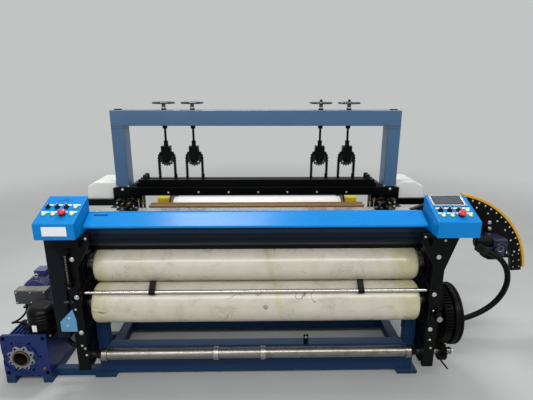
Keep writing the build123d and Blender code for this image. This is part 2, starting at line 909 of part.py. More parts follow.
def hanger_block(x):
    """The clevis that hangs on the screw and carries the sprocket's pin."""
    half = block_width / 2
    low = sprocket_z - 27
    face = outline([(-half, sprocket_z + 20), (-half, block_top), (half, block_top), (half, sprocket_z + 20)])
    face = face + outline([(-half, sprocket_z + 20), (half, sprocket_z + 20), (22, low), (-22, low)])
    depth = slot_width / 2 + block_cheek
    body = Pos(x, 0) * face
    body = across_y(body, (chain_y - depth, chain_y + depth))
    slot = (chain_y - slot_width / 2, chain_y + slot_width / 2)
    body = body - block((x - half - 1, x + half + 1), slot, (low - 1, slot_top))
    body = body + bar_z((block_top, block_top + 26), x, chain_y, 15)
    body = body - bar_z((slot_top - 1, block_top + 30), x, chain_y, screw_radius + running)
    return body + bar_y((chain_y - depth - 4, chain_y + depth + 4), x, sprocket_z, pin_radius)


def handwheel(x):
    """A three spoked handwheel on its lifting screw, with the collars that hold it in the beam."""
    under = beam_bottom - seat
    over = beam_top + seat
    profile = [
        (0, slot_top + 8),
        (screw_radius, slot_top + 8),
        (screw_radius, under - 13),
        (15.5, under - 13),
        (15.5, under),
        (screw_radius, under),
        (screw_radius, over),
        (20, over),
        (20, over + 12),
        (13, over + 14),
        (13, handwheel_z + 9),
        (0, handwheel_z + 9),
    ]
    face = Plane.XZ * make_face(Polyline(*profile, close=True))
    whole = revolve(face, Axis.Z)
    section = Pos(handwheel_radius - rim_section / 2, handwheel_z) * RegularPolygon(rim_section / 2, 6)
    whole = whole + revolve(Plane.XZ * section, Axis.Z)
    for n in range(3):
        spoke = block((8, handwheel_radius - 8), (-4.5, 4.5), (handwheel_z - 4, handwheel_z + 4))
        whole = whole + Rot(0, 0, 120 * n + 90) * spoke
    if x > 0:
        whole = whole + bar_z((handwheel_z + 9, handwheel_z + 24), 0, 0, 9)
    return Pos(x, chain_y, 0) * whole


def portal_frame():
    """The welded portal: two posts and a beam of rectangular tube, drilled for the screws."""
    depth = (portal_front, portal_front + post_depth)
    s = section_steel
    beam = block((-portal_outer, portal_outer), depth, (beam_bottom, beam_top))
    inside = block(
        (s - portal_outer, portal_outer - s), (depth[0] + s, depth[1] - s), (beam_bottom + s, beam_top - s)
    )
    post_x = (portal_outer - post_width, portal_outer)
    post = block(post_x, depth, (bracket_top, beam_bottom))
    hollow = block(
        (post_x[0] + s, post_x[1] - s), (depth[0] + s, depth[1] - s), (bracket_top + 10, beam_bottom)
    )
    whole = beam - inside
    for piece in both_sides(post - hollow):
        whole = whole + piece
    for x in lift_x:
        whole = whole - bar_z((beam_bottom - 1, beam_top + 1), x, chain_y, screw_radius + running)
    return whole


def desk(x):
    """A sloping control box."""
    face = outline(
        [
            (desk_front, box_floor),
            (desk_front, desk_lip),
            (desk_back, desk_crest),
            (desk_back, breast_top),
            (breast_front - 1, breast_top),
            (breast_front - 1, box_floor),
        ]
    )
    whole = across_x(face, x)
    return chamfer(whole.edges().filter_by(Axis.X).group_by(Axis.Z)[2], 3)


def control_places(x, rows):
    """Where the controls of a box stand: three selectors, four buttons and a stop button."""
    middle = sum(x) / 2
    columns = [middle + (n - 1.5) * control_pitch for n in range(4)]
    selectors = [(columns[n], rows[0]) for n in range(3)]
    buttons = [(columns[3], rows[0])] + [(columns[n], rows[1]) for n in (0, 1, 3)]
    return selectors, buttons, (columns[2], rows[1])


def control_box(x, rows):
    """A control box with its fixed bezels and push buttons, bored for what turns or travels."""
    selectors, buttons, stop = control_places(x, rows)
    whole = desk(x)
    for place in buttons:
        whole = whole + on_desk(*place) * Pos(0, 0, 3) * Cylinder(12, 6)
    for place in selectors:
        whole = whole - on_desk(*place) * Pos(0, 0, -5) * Cylinder(selector_stem + running, 40)
    collar = Pos(0, 0, 2.5) * Cylinder(14, 5)
    whole = whole + on_desk(*stop) * collar
    return whole - on_desk(*stop) * Pos(0, 0, -7) * Cylinder(stop_stem + running, 44)


def selector(place):
    """A selector: a grip bar on a disc and a stem."""
    disc = Pos(0, 0, seat + 4) * Cylinder(13, 8)
    grip = Pos(0, 0, seat + 13) * Box(8, 25, 12)
    stem = Pos(0, 0, -8) * Cylinder(selector_stem, 18)
    return on_desk(*place) * (disc + grip + stem)


def stop_button(place):
    """A mushroom stop button."""
    stem_end = -18
    profile = [(0, stem_end), (stop_stem, stem_end), (stop_stem, 11)]
    profile += [(17, 11), (20, 15), (20, 20), (15, 26), (0, 28)]
    face = Plane.XZ * make_face(Polyline(*profile, close=True))
    return on_desk(*place) * revolve(face, Axis.Z)


def touch_screen():
    """The operator's screen, with a raised bezel, on the right box."""
    middle = sum(right_box) / 2 - 7
    frame = Pos(0, 0, 4) * Box(176, 92, 8) - Pos(0, 0, 6.5) * Box(152, 72, 3)
    return on_desk(middle, 172) * frame


def pedestal():
    """The navy cover that stands under the left control box."""
    waist = 700
    middle = Pos(-1050, -695, waist) * Rectangle(90, 130)
    low = Pos(-1060, -695, pedestal_bottom) * Rectangle(70, 110)
    return extrude(middle, box_floor - waist) + loft([low, middle])


def bent_tube():
    """The bent tube from the pedestal's foot to the left casting."""
    corner = (tube_x, tube_y, tube_z)
    path = FilletPolyline((tube_x, tube_y, pedestal_bottom), corner, (-side_outer, tube_y, tube_z), radius=60)
    return sweep(Plane(origin=path @ 0, z_dir=path % 0) * Circle(13.5), path=path)


def side_covers():
    """The two white moulded covers beside the portal."""
    low = wing_top
    high = cover_top
    near = portal_outer + 5
    far = portal_outer + wing_reach - 5
    depth = (portal_front + 6, wing_back - 10)
    face = outline([(-near, low), (-near, high), (-far + 70, high), (-far + 15, high - 35), (-far, low)])
    left = across_y(face, depth)
    left = chamfer(left.edges().group_by(Axis.Y)[0], 8)
    crown = [(near, high - 20), (near + 60, high), (near + 130, high), (far - 20, high - 35)]
    face = outline([(near, low)] + crown + [(far, low)])
    right = fillet(across_y(face, depth).edges().group_by(Axis.Y)[0], 10)
    return [left, right]


def warp_beam():
    """The warp beam: a white barrel between two dark flanges."""
    far = stand_x + 60
    inner = warp_half
    outer = warp_half + warp_flange
    half = [(inner, warp_radius), (inner, warp_flange_radius), (outer, warp_flange_radius)]
    half += [(outer, journal_radius), (far, journal_radius)]
    points = [(far, 0)] + half[::-1] + [(-x, r) for x, r in half] + [(-far, 0)]
    return turned_x(points, warp_y, warp_z)


def warp_stand():
    """A yellow stand: a plate with its bearing, the foot under it and a ribbed channel arm on top."""
    plate = outline(
        [
            (warp_y - 150, stand_foot),
            (warp_y + 130, stand_foot),
            (warp_y + 60, warp_z - 40),
            (warp_y + 60, rear_leg_top),
            (warp_y - 60, rear_leg_top),
            (warp_y - 60, warp_z - 40),
        ]
    )
    hole = Pos(warp_y - 5, 210) * SlotOverall(200, 70, rotation=90)
    middle = stand_x + 25
    cheek = across_x(plate - hole, (middle - 15, middle - 3))
    bearing = bar_x((middle - 25, middle + 25), warp_y, warp_z, 39)
    cheek = cheek + bearing - bar_x((middle - 65, middle + 65), warp_y, warp_z, journal_radius + running)
    foot = block((middle - 30, middle + 60), (warp_y - 170, warp_y + 150), (0, stand_foot))
    x = (middle - 50, middle + 80)
    y = (-base_front - leg - 20, warp_y + 60)
    low = rear_leg_top
    channel = block(x, y, (low, low + 80))
    channel = channel - block((x[0] + 8, x[1] - 8), (y[0] - 1, y[1] + 1), (low + 8, low + 81))
    rib = outline([(x[0] + 8, low + 8), (x[1] - 8, low + 8), (x[1] - 8, low + 76)])
    for n in range(4):
        place = y[0] + 60 + n * 120
        channel = channel + across_y(rib, (place - 4, place + 4))
    return [cheek, foot, channel]


def gearbox_housing():
    """The cast worm gearbox on the left, with its round face and corner feet."""
    front = (gearbox_y[0], gearbox_y[0] + face_thick)
    whole = block(gearbox_x, gearbox_y, gearbox_z) + block(gearbox_x, front, (gearbox_z[0], gearbox_face))
    whole = fillet(whole.edges().filter_by(Axis.Y), 14)
    recess = ring(112, 86, output_x, output_z)
    whole = whole - across_y(recess, (gearbox_y[0], gearbox_y[0] + 6))
    return whole - bar_y((gearbox_y[0] - 1, gearbox_y[1] + 1), output_x, output_z, output_tube + running)


def gearbox_ring():
    """The output flange with eight lobes."""
    whole = Cylinder(66, 12)
    for n in range(8):
        whole = whole + Rot(0, 0, 45 * n + 22.5) * Pos(68, 0, 0) * Cylinder(13, 12)
    whole = whole - Cylinder(output_tube + 2, 20)
    for n in range(8):
        whole = whole - Rot(0, 0, 45 * n) * Pos(59, 0, 0) * extrude(RegularPolygon(5, 6), 10, both=True)
    return Pos(output_x, gearbox_y[0] - 6, output_z) * Rot(90, 0, 0) * whole


def gearbox_shaft():
    """The hollow bronze output shaft with its keyway."""
    face = Circle(output_tube) - Circle(output_bore) - Pos(0, output_bore) * Rectangle(12, 8)
    return across_y(Pos(output_x, output_z) * face, (gearbox_y[0] - 10, gearbox_y[1] + 8))


def servo_motor():
    """The upright servo motor on the gearbox, with its flange, ribs and two plugs."""
    low = gearbox_z[1]
    flange = Pos(servo_x, servo_y, low + 7) * Box(150, 150, 14)
    flange = chamfer(flange.edges().filter_by(Axis.Z), 22)
    profile = [(0, low + 14), (70, low + 14), (70, low + 40), (78, low + 46), (78, low + 100)]
    for n in range(3):
        base = low + 104 + n * 18
        profile += [(73, base), (73, base + 5), (78, base + 7), (78, base + 14)]
    profile += [(70, low + 168), (52, low + 184), (0, low + 184)]
    face = Plane.XZ * make_face(Polyline(*profile, close=True))
    whole = flange + Pos(servo_x, servo_y, 0) * revolve(face, Axis.Z)
    start_x, start_y, start_z = cable_route[0]
    whole = whole + bar_x((start_x, servo_x - 60), start_y, start_z, 16)
    return whole + bar_x((start_x + 8, servo_x - 60), start_y - 4, start_z - 36, 12)


def main_motor():
    """The finned main motor with its brake box and fan cowl."""
    fins = 20
    valley = motor_radius - 10
    fin_shape = (valley, valley, motor_radius, motor_radius, valley)
    points = []
    for n in range(fins):
        for share, radius in zip((-0.5, -0.22, -0.16, 0.16, 0.22), fin_shape):
            angle = 2 * math.pi * (n + share) / fins
            points.append((radius * math.cos(angle), radius * math.sin(angle)))
    body = across_y(Pos(motor_x, motor_z) * outline(points), motor_y)
    cowl = bar_y((motor_y[1], motor_y[1] + 50), motor_x, motor_z, motor_radius - 2)
    box = block((motor_x - 97, motor_x + 98), (-468, motor_y[0]), (motor_z - 47, motor_z + 47))
    box = chamfer(box.edges().filter_by(Axis.Y), 8)
    foot_z = (motor_z - motor_radius - 6, motor_z - motor_radius + 14)
    feet = block((motor_x - 70, motor_x + 70), (motor_y[0] + 20, motor_y[1] - 20), foot_z)
    return joined([body, cowl, box, feet])


def tape_guide_plate():
    """The black quadrant that turns the rapier tape down, its arm and the motor bracket."""
    centre = Pos(guide_centre_x, guide_centre_z)
    inner = guide_radius - guide_band
    band = centre * sector(guide_radius, inner, 22, 90)
    tail = centre * sector(guide_radius - 8, guide_radius - 80, 4, 22)
    arm = outline(
        [
            (side_outer, 700),
            (side_outer, 870),
            (guide_centre_x, guide_centre_z + guide_radius),
            (guide_centre_x, guide_centre_z + inner),
            (side_outer + 130, 700),
        ]
    )
    whole = across_y(band + tail + arm, guide_y)
    whole = whole + block((side_outer, side_outer + 12), (-200, guide_y[1]), (700, 860))
    low = rapier_z - 135
    high = rapier_z - 55
    left = rapier_x - 25
    right = rapier_x + 80
    bracket = outline([(left, low + 20), (rapier_x + 15, low), (right, low), (right, high), (left, high)])
    return whole + across_y(bracket, (guide_y[0] - 40, guide_y[0])) + block(
        (left, right), (-330, guide_y[0]), (high - 12, high)
    )


def tape_guide_edge():
    """The yellow bent bar along the rim of the quadrant."""
    inner = guide_radius + seat
    face = Pos(guide_centre_x, guide_centre_z) * sector(inner + edge_thick, inner, 6, 93)
    bar = across_y(face, (guide_y[0] + 1, guide_y[1] + 14))
    return bar


def rapier_motor():
    """The rapier's worm gearbox with its hub, motor and cable socket."""
    body = block((rapier_x - 45, rapier_x + 48), (-340, guide_y[0] - 40), (rapier_z - 55, rapier_z + 58))
    body = fillet(body.edges().filter_by(Axis.Y), 12)
    body = body + bar_y((guide_y[0] - 40, guide_y[0]), rapier_x, rapier_z, 48)
    body = body + bar_y((-352, -340), rapier_x, rapier_z, 40) - bar_y((-353, -330), rapier_x, rapier_z, 18)
    motor_axis = rapier_z + 30
    body = body + bar_x((rapier_x - 140, rapier_x - 45), -290, motor_axis, 38)
    start_x, start_y, start_z = hose_route[0]
    socket = block((rapier_x - 140, rapier_x - 118), (start_y - 22, -290), (start_z - 24, motor_axis))
    body = body + socket
    out = (Vector(*hose_route[1]) - Vector(*hose_route[0])).normalized()
    return body + extrude(Plane(origin=hose_route[0], z_dir=out) * Circle(hose_radius + 5), -22)


def cord_path(route):
    """A route as straight runs joined by tangent arcs, each as large as its two runs allow."""
    points = [Vector(*p) for p in route]
    radii = []
    for before, here, after in zip(points, points[1:], points[2:]):
        into = here - before
        out = after - here
        half_turn = math.radians(into.get_angle(out)) / 2
        radii.append(0.45 * min(into.length, out.length) / math.tan(half_turn))
    return FilletPolyline(*points, radius=radii), radii


def cord(route, radius, name):
    """A plain tube along a route, with its radii and its volume against section times length."""
    path, radii = cord_path(route)
    tube = sweep(Plane(origin=path @ 0, z_dir=path % 0) * Circle(radius), path=path)
    runs = [round((Vector(*b) - Vector(*a)).length) for a, b in zip(route, route[1:])]
    print(name, "length", round(path.length), "runs", runs)
    print(name, "radii", [round(r) for r in radii], "least", round(min(radii) / radius / 2, 1), "diameters")
    print(name, "volume", round(tube.volume / (math.pi * radius**2 * path.length), 4), "of section x length")
    return tube


def build():
    """Every sub-part by name."""
    roller_gear, counter, wheel, pinion = gear_bodies()
    parts = {
        "base_frame": group(base_frame()),
        "left_side_casting": left_casting(),
        "right_side_casting": right_casting(),
        "portal_frame": portal_frame(),
        "breast_beam": breast_beam(),
        "breast_cover": breast_cover(),
        "fell_rail": fell_rail(),
        "weft_clamps": group([weft_clamp(-760), mirror(weft_clamp(-760), about=Plane.YZ)]),
        "front_cross_bar": front_cross_bar(),
        "left_control_box": control_box(left_box, left_rows),
        "right_control_box": control_box(right_box, right_rows),
        "touch_screen": touch_screen(),
        "left_pedestal": pedestal(),
        "bent_tube": bent_tube(),
        "guide_rod": guide_rod(),
        "rod_fingers": group(rod_fingers()),
        "side_covers": group(side_covers()),
        "pressure_spring": pressure_spring(),
        "star_knob": star_knob(),
        "gearbox_housing": gearbox_housing(),
        "gearbox_ring": gearbox_ring(),
        "gearbox_shaft": gearbox_shaft(),
        "servo_motor": servo_motor(),
        "servo_cable": cord(cable_route, cable_radius, "servo_cable"),
        "main_motor": main_motor(),
        "tape_guide_plate": tape_guide_plate(),
        "tape_guide_edge": tape_guide_edge(),
        "rapier_motor": rapier_motor(),
        "rapier_hose": cord(hose_route, hose_radius, "rapier_hose"),
        "warp_stands": group([side for piece in warp_stand() for side in both_sides(piece)]),
        "warp_beam": warp_beam(),
        "lower_roller": lower_roller(roller_gear),
        "upper_roller": upper_roller(),
        "take_up_wheel": take_up_wheel(counter, wheel),
        "winding_shaft": winding_shaft(pinion),
        "sley_rocker": sley_rocker(),
        "race_board": race_board(),
        "heald_frame_front": heald_frame(front_heald_y, -1),
        "heald_frame_rear": heald_frame(rear_heald_y, 1),
    }
    chain = lifting_chain()
    parts["lift_chains"] = group([Pos(x, 0, 0) * chain for x in lift_x])
    for n, x in enumerate(lift_x, 1):
        parts[f"handwheel_{n}"] = handwheel(x)
        parts[f"hanger_block_{n}"] = hanger_block(x)
        parts[f"lift_sprocket_{n}"] = lift_sprocket(x)
    for side, x, rows in (("left", left_box, left_rows), ("right", right_box, right_rows)):
        selectors, _, stop = control_places(x, rows)
        for n, place in enumerate(selectors, 1):
            parts[f"{side}_selector_{n}"] = selector(place)
        parts[f"{side}_stop_button"] = stop_button(stop)
    return parts


if __name__ == "__main__":
    for name, shape in build().items():
        export_step(shape, f"parts/{name}.step")
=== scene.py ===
import json
import math
from functools import partial

import bmesh
import bpy
from mathutils import Matrix, Vector, noise

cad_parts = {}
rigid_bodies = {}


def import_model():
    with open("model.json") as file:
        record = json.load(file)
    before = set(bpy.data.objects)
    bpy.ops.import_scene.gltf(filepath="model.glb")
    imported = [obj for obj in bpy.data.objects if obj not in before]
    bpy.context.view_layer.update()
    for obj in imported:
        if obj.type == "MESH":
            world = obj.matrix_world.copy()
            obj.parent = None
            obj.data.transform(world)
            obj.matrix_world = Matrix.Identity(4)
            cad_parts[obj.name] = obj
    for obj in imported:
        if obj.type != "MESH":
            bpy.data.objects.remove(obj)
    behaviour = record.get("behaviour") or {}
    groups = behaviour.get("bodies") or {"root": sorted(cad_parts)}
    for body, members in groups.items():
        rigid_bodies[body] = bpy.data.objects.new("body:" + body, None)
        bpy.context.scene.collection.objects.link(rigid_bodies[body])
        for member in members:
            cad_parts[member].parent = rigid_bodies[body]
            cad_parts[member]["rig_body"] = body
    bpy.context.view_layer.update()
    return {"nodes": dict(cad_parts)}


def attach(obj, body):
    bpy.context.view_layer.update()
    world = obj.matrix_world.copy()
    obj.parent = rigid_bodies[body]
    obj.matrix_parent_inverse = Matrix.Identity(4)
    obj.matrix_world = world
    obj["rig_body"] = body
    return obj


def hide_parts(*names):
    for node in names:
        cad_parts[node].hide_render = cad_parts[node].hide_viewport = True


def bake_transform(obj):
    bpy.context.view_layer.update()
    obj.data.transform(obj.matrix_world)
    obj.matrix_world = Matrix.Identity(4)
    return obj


bl_info = {
    "name": "Wire Mesh Weaving Machine",
    "version": (1, 0, 0),
    "blender": (4, 5, 0),
    "location": "View3D > Sidebar > Weaving",
    "description": "Dresses the frame of a wire mesh weaving machine, group by group",
    "category": "Add Mesh",
}

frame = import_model()


# ---- colours and sizes that a user would change


def linear(hex_colour):
    """An sRGB hex colour as linear red, green, blue and alpha."""
    channels = [int(hex_colour[n : n + 2], 16) / 255 for n in (1, 3, 5)]
    return [c / 12.92 if c <= 0.04045 else ((c + 0.055) / 1.055) ** 2.4 for c in channels] + [1.0]


def colour(name, description, value):
    """A colour property with its default."""
    return bpy.props.FloatVectorProperty(
        name=name, description=description, default=linear(value), size=4, min=0, max=1, subtype="COLOR"
    )


def length(name, description, value):
    """A length property in metres with its default."""
    return bpy.props.FloatProperty(name=name, description=description, default=value, min=0, unit="LENGTH")


class WeavingColours(bpy.types.PropertyGroup):
    """Colours of the machine's paints and of the film on its rollers"""

    machine_blue: colour("Machine blue", "Enamel of the portal and the sley", "#3D6488")
    # the base blue is the machine blue darkened as painted shade
    base_blue: colour("Base blue", "Enamel of the base frame, darkened as painted shade", "#12345A")
    cover_blue: colour("Cover blue", "Powder coat of the breast cover and the desks", "#0281CE")
    casting_black: colour("Casting black", "Enamel of the side castings", "#040506")
    drive_navy: colour("Drive navy", "Enamel of the worm gearbox", "#062463")
    guard_yellow: colour("Guard yellow", "Enamel of the guide's edge and the warp stands", "#E0AA16")
    cover_white: colour("Cover white", "Moulded side covers", "#EFEFEC")
    film_cream: colour("Film cream", "Film on the take-up rollers", "#CFC8B9")


class WeavingSizes(bpy.types.PropertyGroup):
    """Sizes of the details that the frame leaves to the dressing"""

    film_waves: length("Film waves", "How far the film on the rollers stands up and down", 0.0007)
    bolt_head: length("Bolt head", "Radius of the large bolts on the castings", 0.009)
    wheel_waves: length("Wheel waves", "Depth of the finger waves in a handwheel's rim", 0.0028)


def look():
    """The colours as the user has set them."""
    return bpy.context.scene.weaving_colours


def sizes():
    """The sizes as the user has set them."""
    return bpy.context.scene.weaving_sizes


# ---- materials


def feed(tree, node, inputs):
    """Sets inputs of a node, as values, as sockets, or as nodes whose first output in use feeds them."""
    for key, value in inputs.items():
        if isinstance(value, bpy.types.Node):
            value = next(socket for socket in value.outputs if socket.enabled)
        if isinstance(value, bpy.types.NodeSocket):
            tree.links.new(value, node.inputs[key])
        else:
            node.inputs[key].default_value = value


def add(tree, kind, inputs=None, **settings):
    """Adds a shader node with its settings and its inputs."""
    made = tree.nodes.new("ShaderNode" + kind)
    for key, value in settings.items():
        setattr(made, key, value)
    feed(tree, made, inputs or {})
    return made


def per(millimetres):
    """The scale of a pattern whose features are this large."""
    return 1000 / millimetres


def shade(value, share):
    """A colour at a share of its brightness."""
    return [min(1.0, channel * share) for channel in value[:3]] + [1.0]


def tint(value):
    """A hex colour, or the user's colour of this name."""
    return linear(value) if value.startswith("#") else getattr(look(), value)


def start_material(name):
    """A new material: itself, its tree, its shader and its object coordinates."""
    made = bpy.data.materials.new(name)
    made.use_nodes = True
    tree = made.node_tree
    tree.nodes.clear()
    shader = add(tree, "BsdfPrincipled")
    add(tree, "OutputMaterial", {"Surface": shader})
    return made, tree, shader, add(tree, "TexCoord").outputs["Object"]


def painted(paint, rough, coat, dust, worn, edge_wear_and_highlight=0.5, peel_mm=2.5, peel=0.12, shine=0.5, name=""):
    """Sprayed paint on steel or iron. It shows broad patches a shade apart, dust on what faces up, an
    orange peel or cast grain in the gloss, and lighter edges, partly rubbed wear and partly painted
    highlight."""
    made, tree, shader, place = start_material(name)
    paint = tint(paint)
    patches = add(tree, "TexNoise", {"Vector": place, "Scale": per(140), "Detail": 4})
    tone = add(tree, "Mix", {0: patches, 6: paint, 7: shade(paint, 0.78)}, data_type="RGBA")
    flat = add(tree, "NewGeometry").outputs["Normal"]
    up = add(tree, "SeparateXYZ", {"Vector": flat}).outputs["Z"]
    specks = add(tree, "TexNoise", {"Vector": place, "Scale": per(18), "Detail": 6, "Roughness": 0.7})
    lying = add(tree, "MapRange", {"Value": up, "From Min": 0.4, "To Max": dust})
    amount = add(tree, "Math", {0: lying, 1: specks}, operation="MULTIPLY")
    dusty = add(tree, "Mix", {0: amount, 6: tone, 7: linear("#A9A498")}, data_type="RGBA")
    smooth = add(tree, "Bevel", {"Radius": 0.0022}, samples=4)
    meet = add(tree, "VectorMath", {0: smooth, 1: flat}, operation="DOT_PRODUCT")
    # the edges take the worn colour: rubbed wear and painted highlight together
    edge = add(tree, "MapRange", {"Value": meet, "From Min": 0.985, "From Max": 0.88, "To Max": edge_wear_and_highlight})
    rubbed = add(tree, "Math", {0: edge, 1: specks}, operation="MULTIPLY")
    final = add(tree, "Mix", {0: rubbed, 6: dusty, 7: linear(worn)}, data_type="RGBA")
    gloss = add(tree, "MapRange", {"Value": specks, "To Min": rough - 0.06, "To Max": rough + 0.16})
    skin = add(tree, "TexNoise", {"Vector": place, "Scale": per(peel_mm), "Detail": 2})
    bump = add(tree, "Bump", {"Height": skin, "Strength": peel, "Distance": 0.0006, "Normal": smooth})
    feed(tree, shader, {"Base Color": final, "Roughness": gloss, "Normal": bump})
    feed(tree, shader, {"Coat Weight": coat, "Coat Roughness": 0.12, "Specular IOR Level": shine})
    return made


def bare_metal(metal, rough, stretch, streak_mm, dirt, stain="#4A4036", depth=0.15, name=""):
    """Bare machined metal. Tool marks run the way it was drawn, turned or ground, oil and dirt lie in
    patches, and its edges are broken."""
    made, tree, shader, place = start_material(name)
    metal = linear(metal)
    drawn = add(tree, "Mapping", {"Vector": place, "Scale": stretch})
    marks = add(tree, "TexNoise", {"Vector": drawn, "Scale": per(streak_mm), "Detail": 5})
    tone = add(tree, "Mix", {0: marks, 6: shade(metal, 0.72), 7: shade(metal, 1.12)}, data_type="RGBA")
    patches = add(tree, "TexNoise", {"Vector": place, "Scale": per(45), "Detail": 6, "Roughness": 0.65})
    oily = add(tree, "MapRange", {"Value": patches, "From Min": 0.5, "From Max": 0.75, "To Max": dirt})
    final = add(tree, "Mix", {0: oily, 6: tone, 7: linear(stain)}, data_type="RGBA")
    sheen = {"Value": patches, "To Min": max(0.04, rough - 0.1), "To Max": rough + 0.15}
    gloss = add(tree, "MapRange", sheen)
    smooth = add(tree, "Bevel", {"Radius": 0.001}, samples=4)
    bump = add(tree, "Bump", {"Height": marks, "Strength": depth, "Distance": 0.0003, "Normal": smooth})
    feed(tree, shader, {"Base Color": final, "Roughness": gloss, "Normal": bump, "Metallic": 1.0})
    return made


def moulded(plastic, rough, grain_mm=1.2, depth=0.15, dust=0.2, coat=0.0, shine=0.5, name="", **more):
    """Injection moulded plastic or rubber. A fine grain breaks its gloss, and dust greys it a little."""
    made, tree, shader, place = start_material(name)
    film = add(tree, "TexNoise", {"Vector": place, "Scale": per(30), "Detail": 5})
    amount = add(tree, "MapRange", {"Value": film, "From Min": 0.45, "From Max": 0.8, "To Max": dust})
    tone = add(tree, "Mix", {0: amount, 6: linear(plastic), 7: linear("#8F8C84")}, data_type="RGBA")
    gloss = add(tree, "MapRange", {"Value": film, "To Min": rough - 0.06, "To Max": rough + 0.14})
    fine = add(tree, "TexNoise", {"Vector": place, "Scale": per(grain_mm), "Detail": 2})
    smooth = add(tree, "Bevel", {"Radius": 0.0008}, samples=4)
    bump = add(tree, "Bump", {"Height": fine, "Strength": depth, "Distance": 0.0002, "Normal": smooth})
    feed(tree, shader, {"Base Color": tone, "Roughness": gloss, "Normal": bump})
    feed(tree, shader, {"Coat Weight": coat, "Specular IOR Level": shine} | more)
    return made


# how strongly the film's overlaps are yellowed, by where they stand along the roller
OVERLAPS = (
    (0.165, 0.9), (0.2, 0.85), (0.225, 0.1), (0.3, 0.04), (0.31, 0.5), (0.325, 0.05), (0.6, 0.05),
    (0.61, 0.9), (0.62, 0.2), (0.64, 0.04), (0.86, 0.06), (0.88, 0.5), (0.895, 0.15), (0.915, 0.85),
    (0.95, 0.95),
)


def wrapping_film(name):
    """Polyethylene film wound over rubber covered rollers: cream, half glossy, creased round the roller,
    yellowed in rings where it overlaps and smudged by handling in patches along it."""
    made, tree, shader, place = start_material(name)
    cream = look().film_cream
    clouds = add(tree, "TexNoise", {"Vector": place, "Scale": per(110), "Detail": 5, "Roughness": 0.6})
    tone = add(tree, "Mix", {0: clouds, 6: shade(cream, 0.72), 7: shade(cream, 1.1)}, data_type="RGBA")
    # the overlaps run round the roller, leaning a little, so they read X and a share of Z
    leaning = add(tree, "Mapping", {"Vector": place, "Rotation": (0, math.radians(14), 0)})
    across = add(tree, "SeparateXYZ", {"Vector": leaning}).outputs["X"]
    spread = add(tree, "MapRange", {"Value": across, "From Min": -1.1, "From Max": 1.1})
    rings = add(tree, "ValToRGB", {"Fac": spread})
    ramp = rings.color_ramp
    for stop, grey in zip(ramp.elements, (0.5, 0.35)):
        stop.color = (grey, grey, grey, 1)
    for where, grey in OVERLAPS:
        ramp.elements.new(where).color = (grey, grey, grey, 1)
    broken = add(tree, "TexNoise", {"Vector": place, "Scale": per(35), "Detail": 5})
    yellow = add(tree, "Math", {0: rings, 1: broken}, operation="MULTIPLY")
    stained = add(tree, "Mix", {0: yellow, 6: tone, 7: linear("#ABA35C")}, data_type="RGBA")
    # smudges, in lengths drawn along the roller
    rub = add(tree, "Mapping", {"Vector": place, "Scale": (0.55, 1, 1)})
    smudge = add(tree, "TexNoise", {"Vector": rub, "Scale": per(60), "Detail": 7, "Roughness": 0.7})
    dark = add(tree, "MapRange", {"Value": smudge, "From Min": 0.55, "From Max": 0.74, "To Max": 0.55})
    smudged = add(tree, "Mix", {0: dark, 6: stained, 7: linear("#7D7562")}, data_type="RGBA")
    # a few dark tears, where the noise crosses one value, each torn over a short length alone
    tears = add(tree, "TexNoise", {"Vector": place, "Scale": per(170), "Detail": 1.5, "Distortion": 0.4})
    off = add(tree, "Math", {0: tears, 1: 0.6}, operation="SUBTRACT")
    thin = add(tree, "Math", {0: off}, operation="ABSOLUTE")
    line = add(tree, "MapRange", {"Value": thin, "From Max": 0.009, "To Min": 0.9, "To Max": 0})
    patch = add(tree, "TexNoise", {"Vector": place, "Scale": per(120), "Detail": 1})
    short = add(tree, "MapRange", {"Value": patch, "From Min": 0.55, "From Max": 0.62})
    cut = add(tree, "Math", {0: line, 1: short}, operation="MULTIPLY")
    # creases, drawn out round the roller
    bent = add(tree, "Mapping", {"Vector": place, "Scale": (1, 0.22, 0.22)})
    folds = add(tree, "TexNoise", {"Vector": bent, "Scale": per(26), "Detail": 6, "Distortion": 0.8})
    torn = add(tree, "Mix", {0: cut, 6: smudged, 7: linear("#3E382E")}, data_type="RGBA")
    gloss = add(tree, "MapRange", {"Value": clouds, "To Min": 0.2, "To Max": 0.38})
    bump = add(tree, "Bump", {"Height": folds, "Strength": 0.4, "Distance": 0.0025})
    feed(tree, shader, {"Base Color": torn, "Roughness": gloss, "Normal": bump})
    feed(tree, shader, {"Coat Weight": 0.25, "Coat Roughness": 0.2, "IOR": 1.51})
    return made


def laminate_board(name):
    """Phenolic laminate: brown paper layers pressed in resin, with fibres along the board."""
    made, tree, shader, place = start_material(name)
    along = add(tree, "Mapping", {"Vector": place, "Scale": (0.06, 1, 1)})
    fibres = add(tree, "TexNoise", {"Vector": along, "Scale": per(5), "Detail": 6})
    tone = add(tree, "Mix", {0: fibres, 6: linear("#4A3216"), 7: linear("#8C6A38")}, data_type="RGBA")
    bump = add(tree, "Bump", {"Height": fibres, "Strength": 0.2, "Distance": 0.0004})
    feed(tree, shader, {"Base Color": tone, "Normal": bump, "Roughness": 0.42})
    return made


def screen_glass(name):
    """Cover glass over a display that is off: mirror smooth, with a faint film of dust; its slate grey is
    partly a painted reflection.
    """
    made, tree, shader, place = start_material(name)
    film = add(tree, "TexNoise", {"Vector": place, "Scale": per(40), "Detail": 3})
    tone = add(tree, "Mix", {0: film, 6: linear("#3B4148"), 7: linear("#4C535B")}, data_type="RGBA")
    gloss = add(tree, "MapRange", {"Value": film, "To Min": 0.05, "To Max": 0.16})
    feed(tree, shader, {"Base Color": tone, "Roughness": gloss, "IOR": 1.52})
    return made


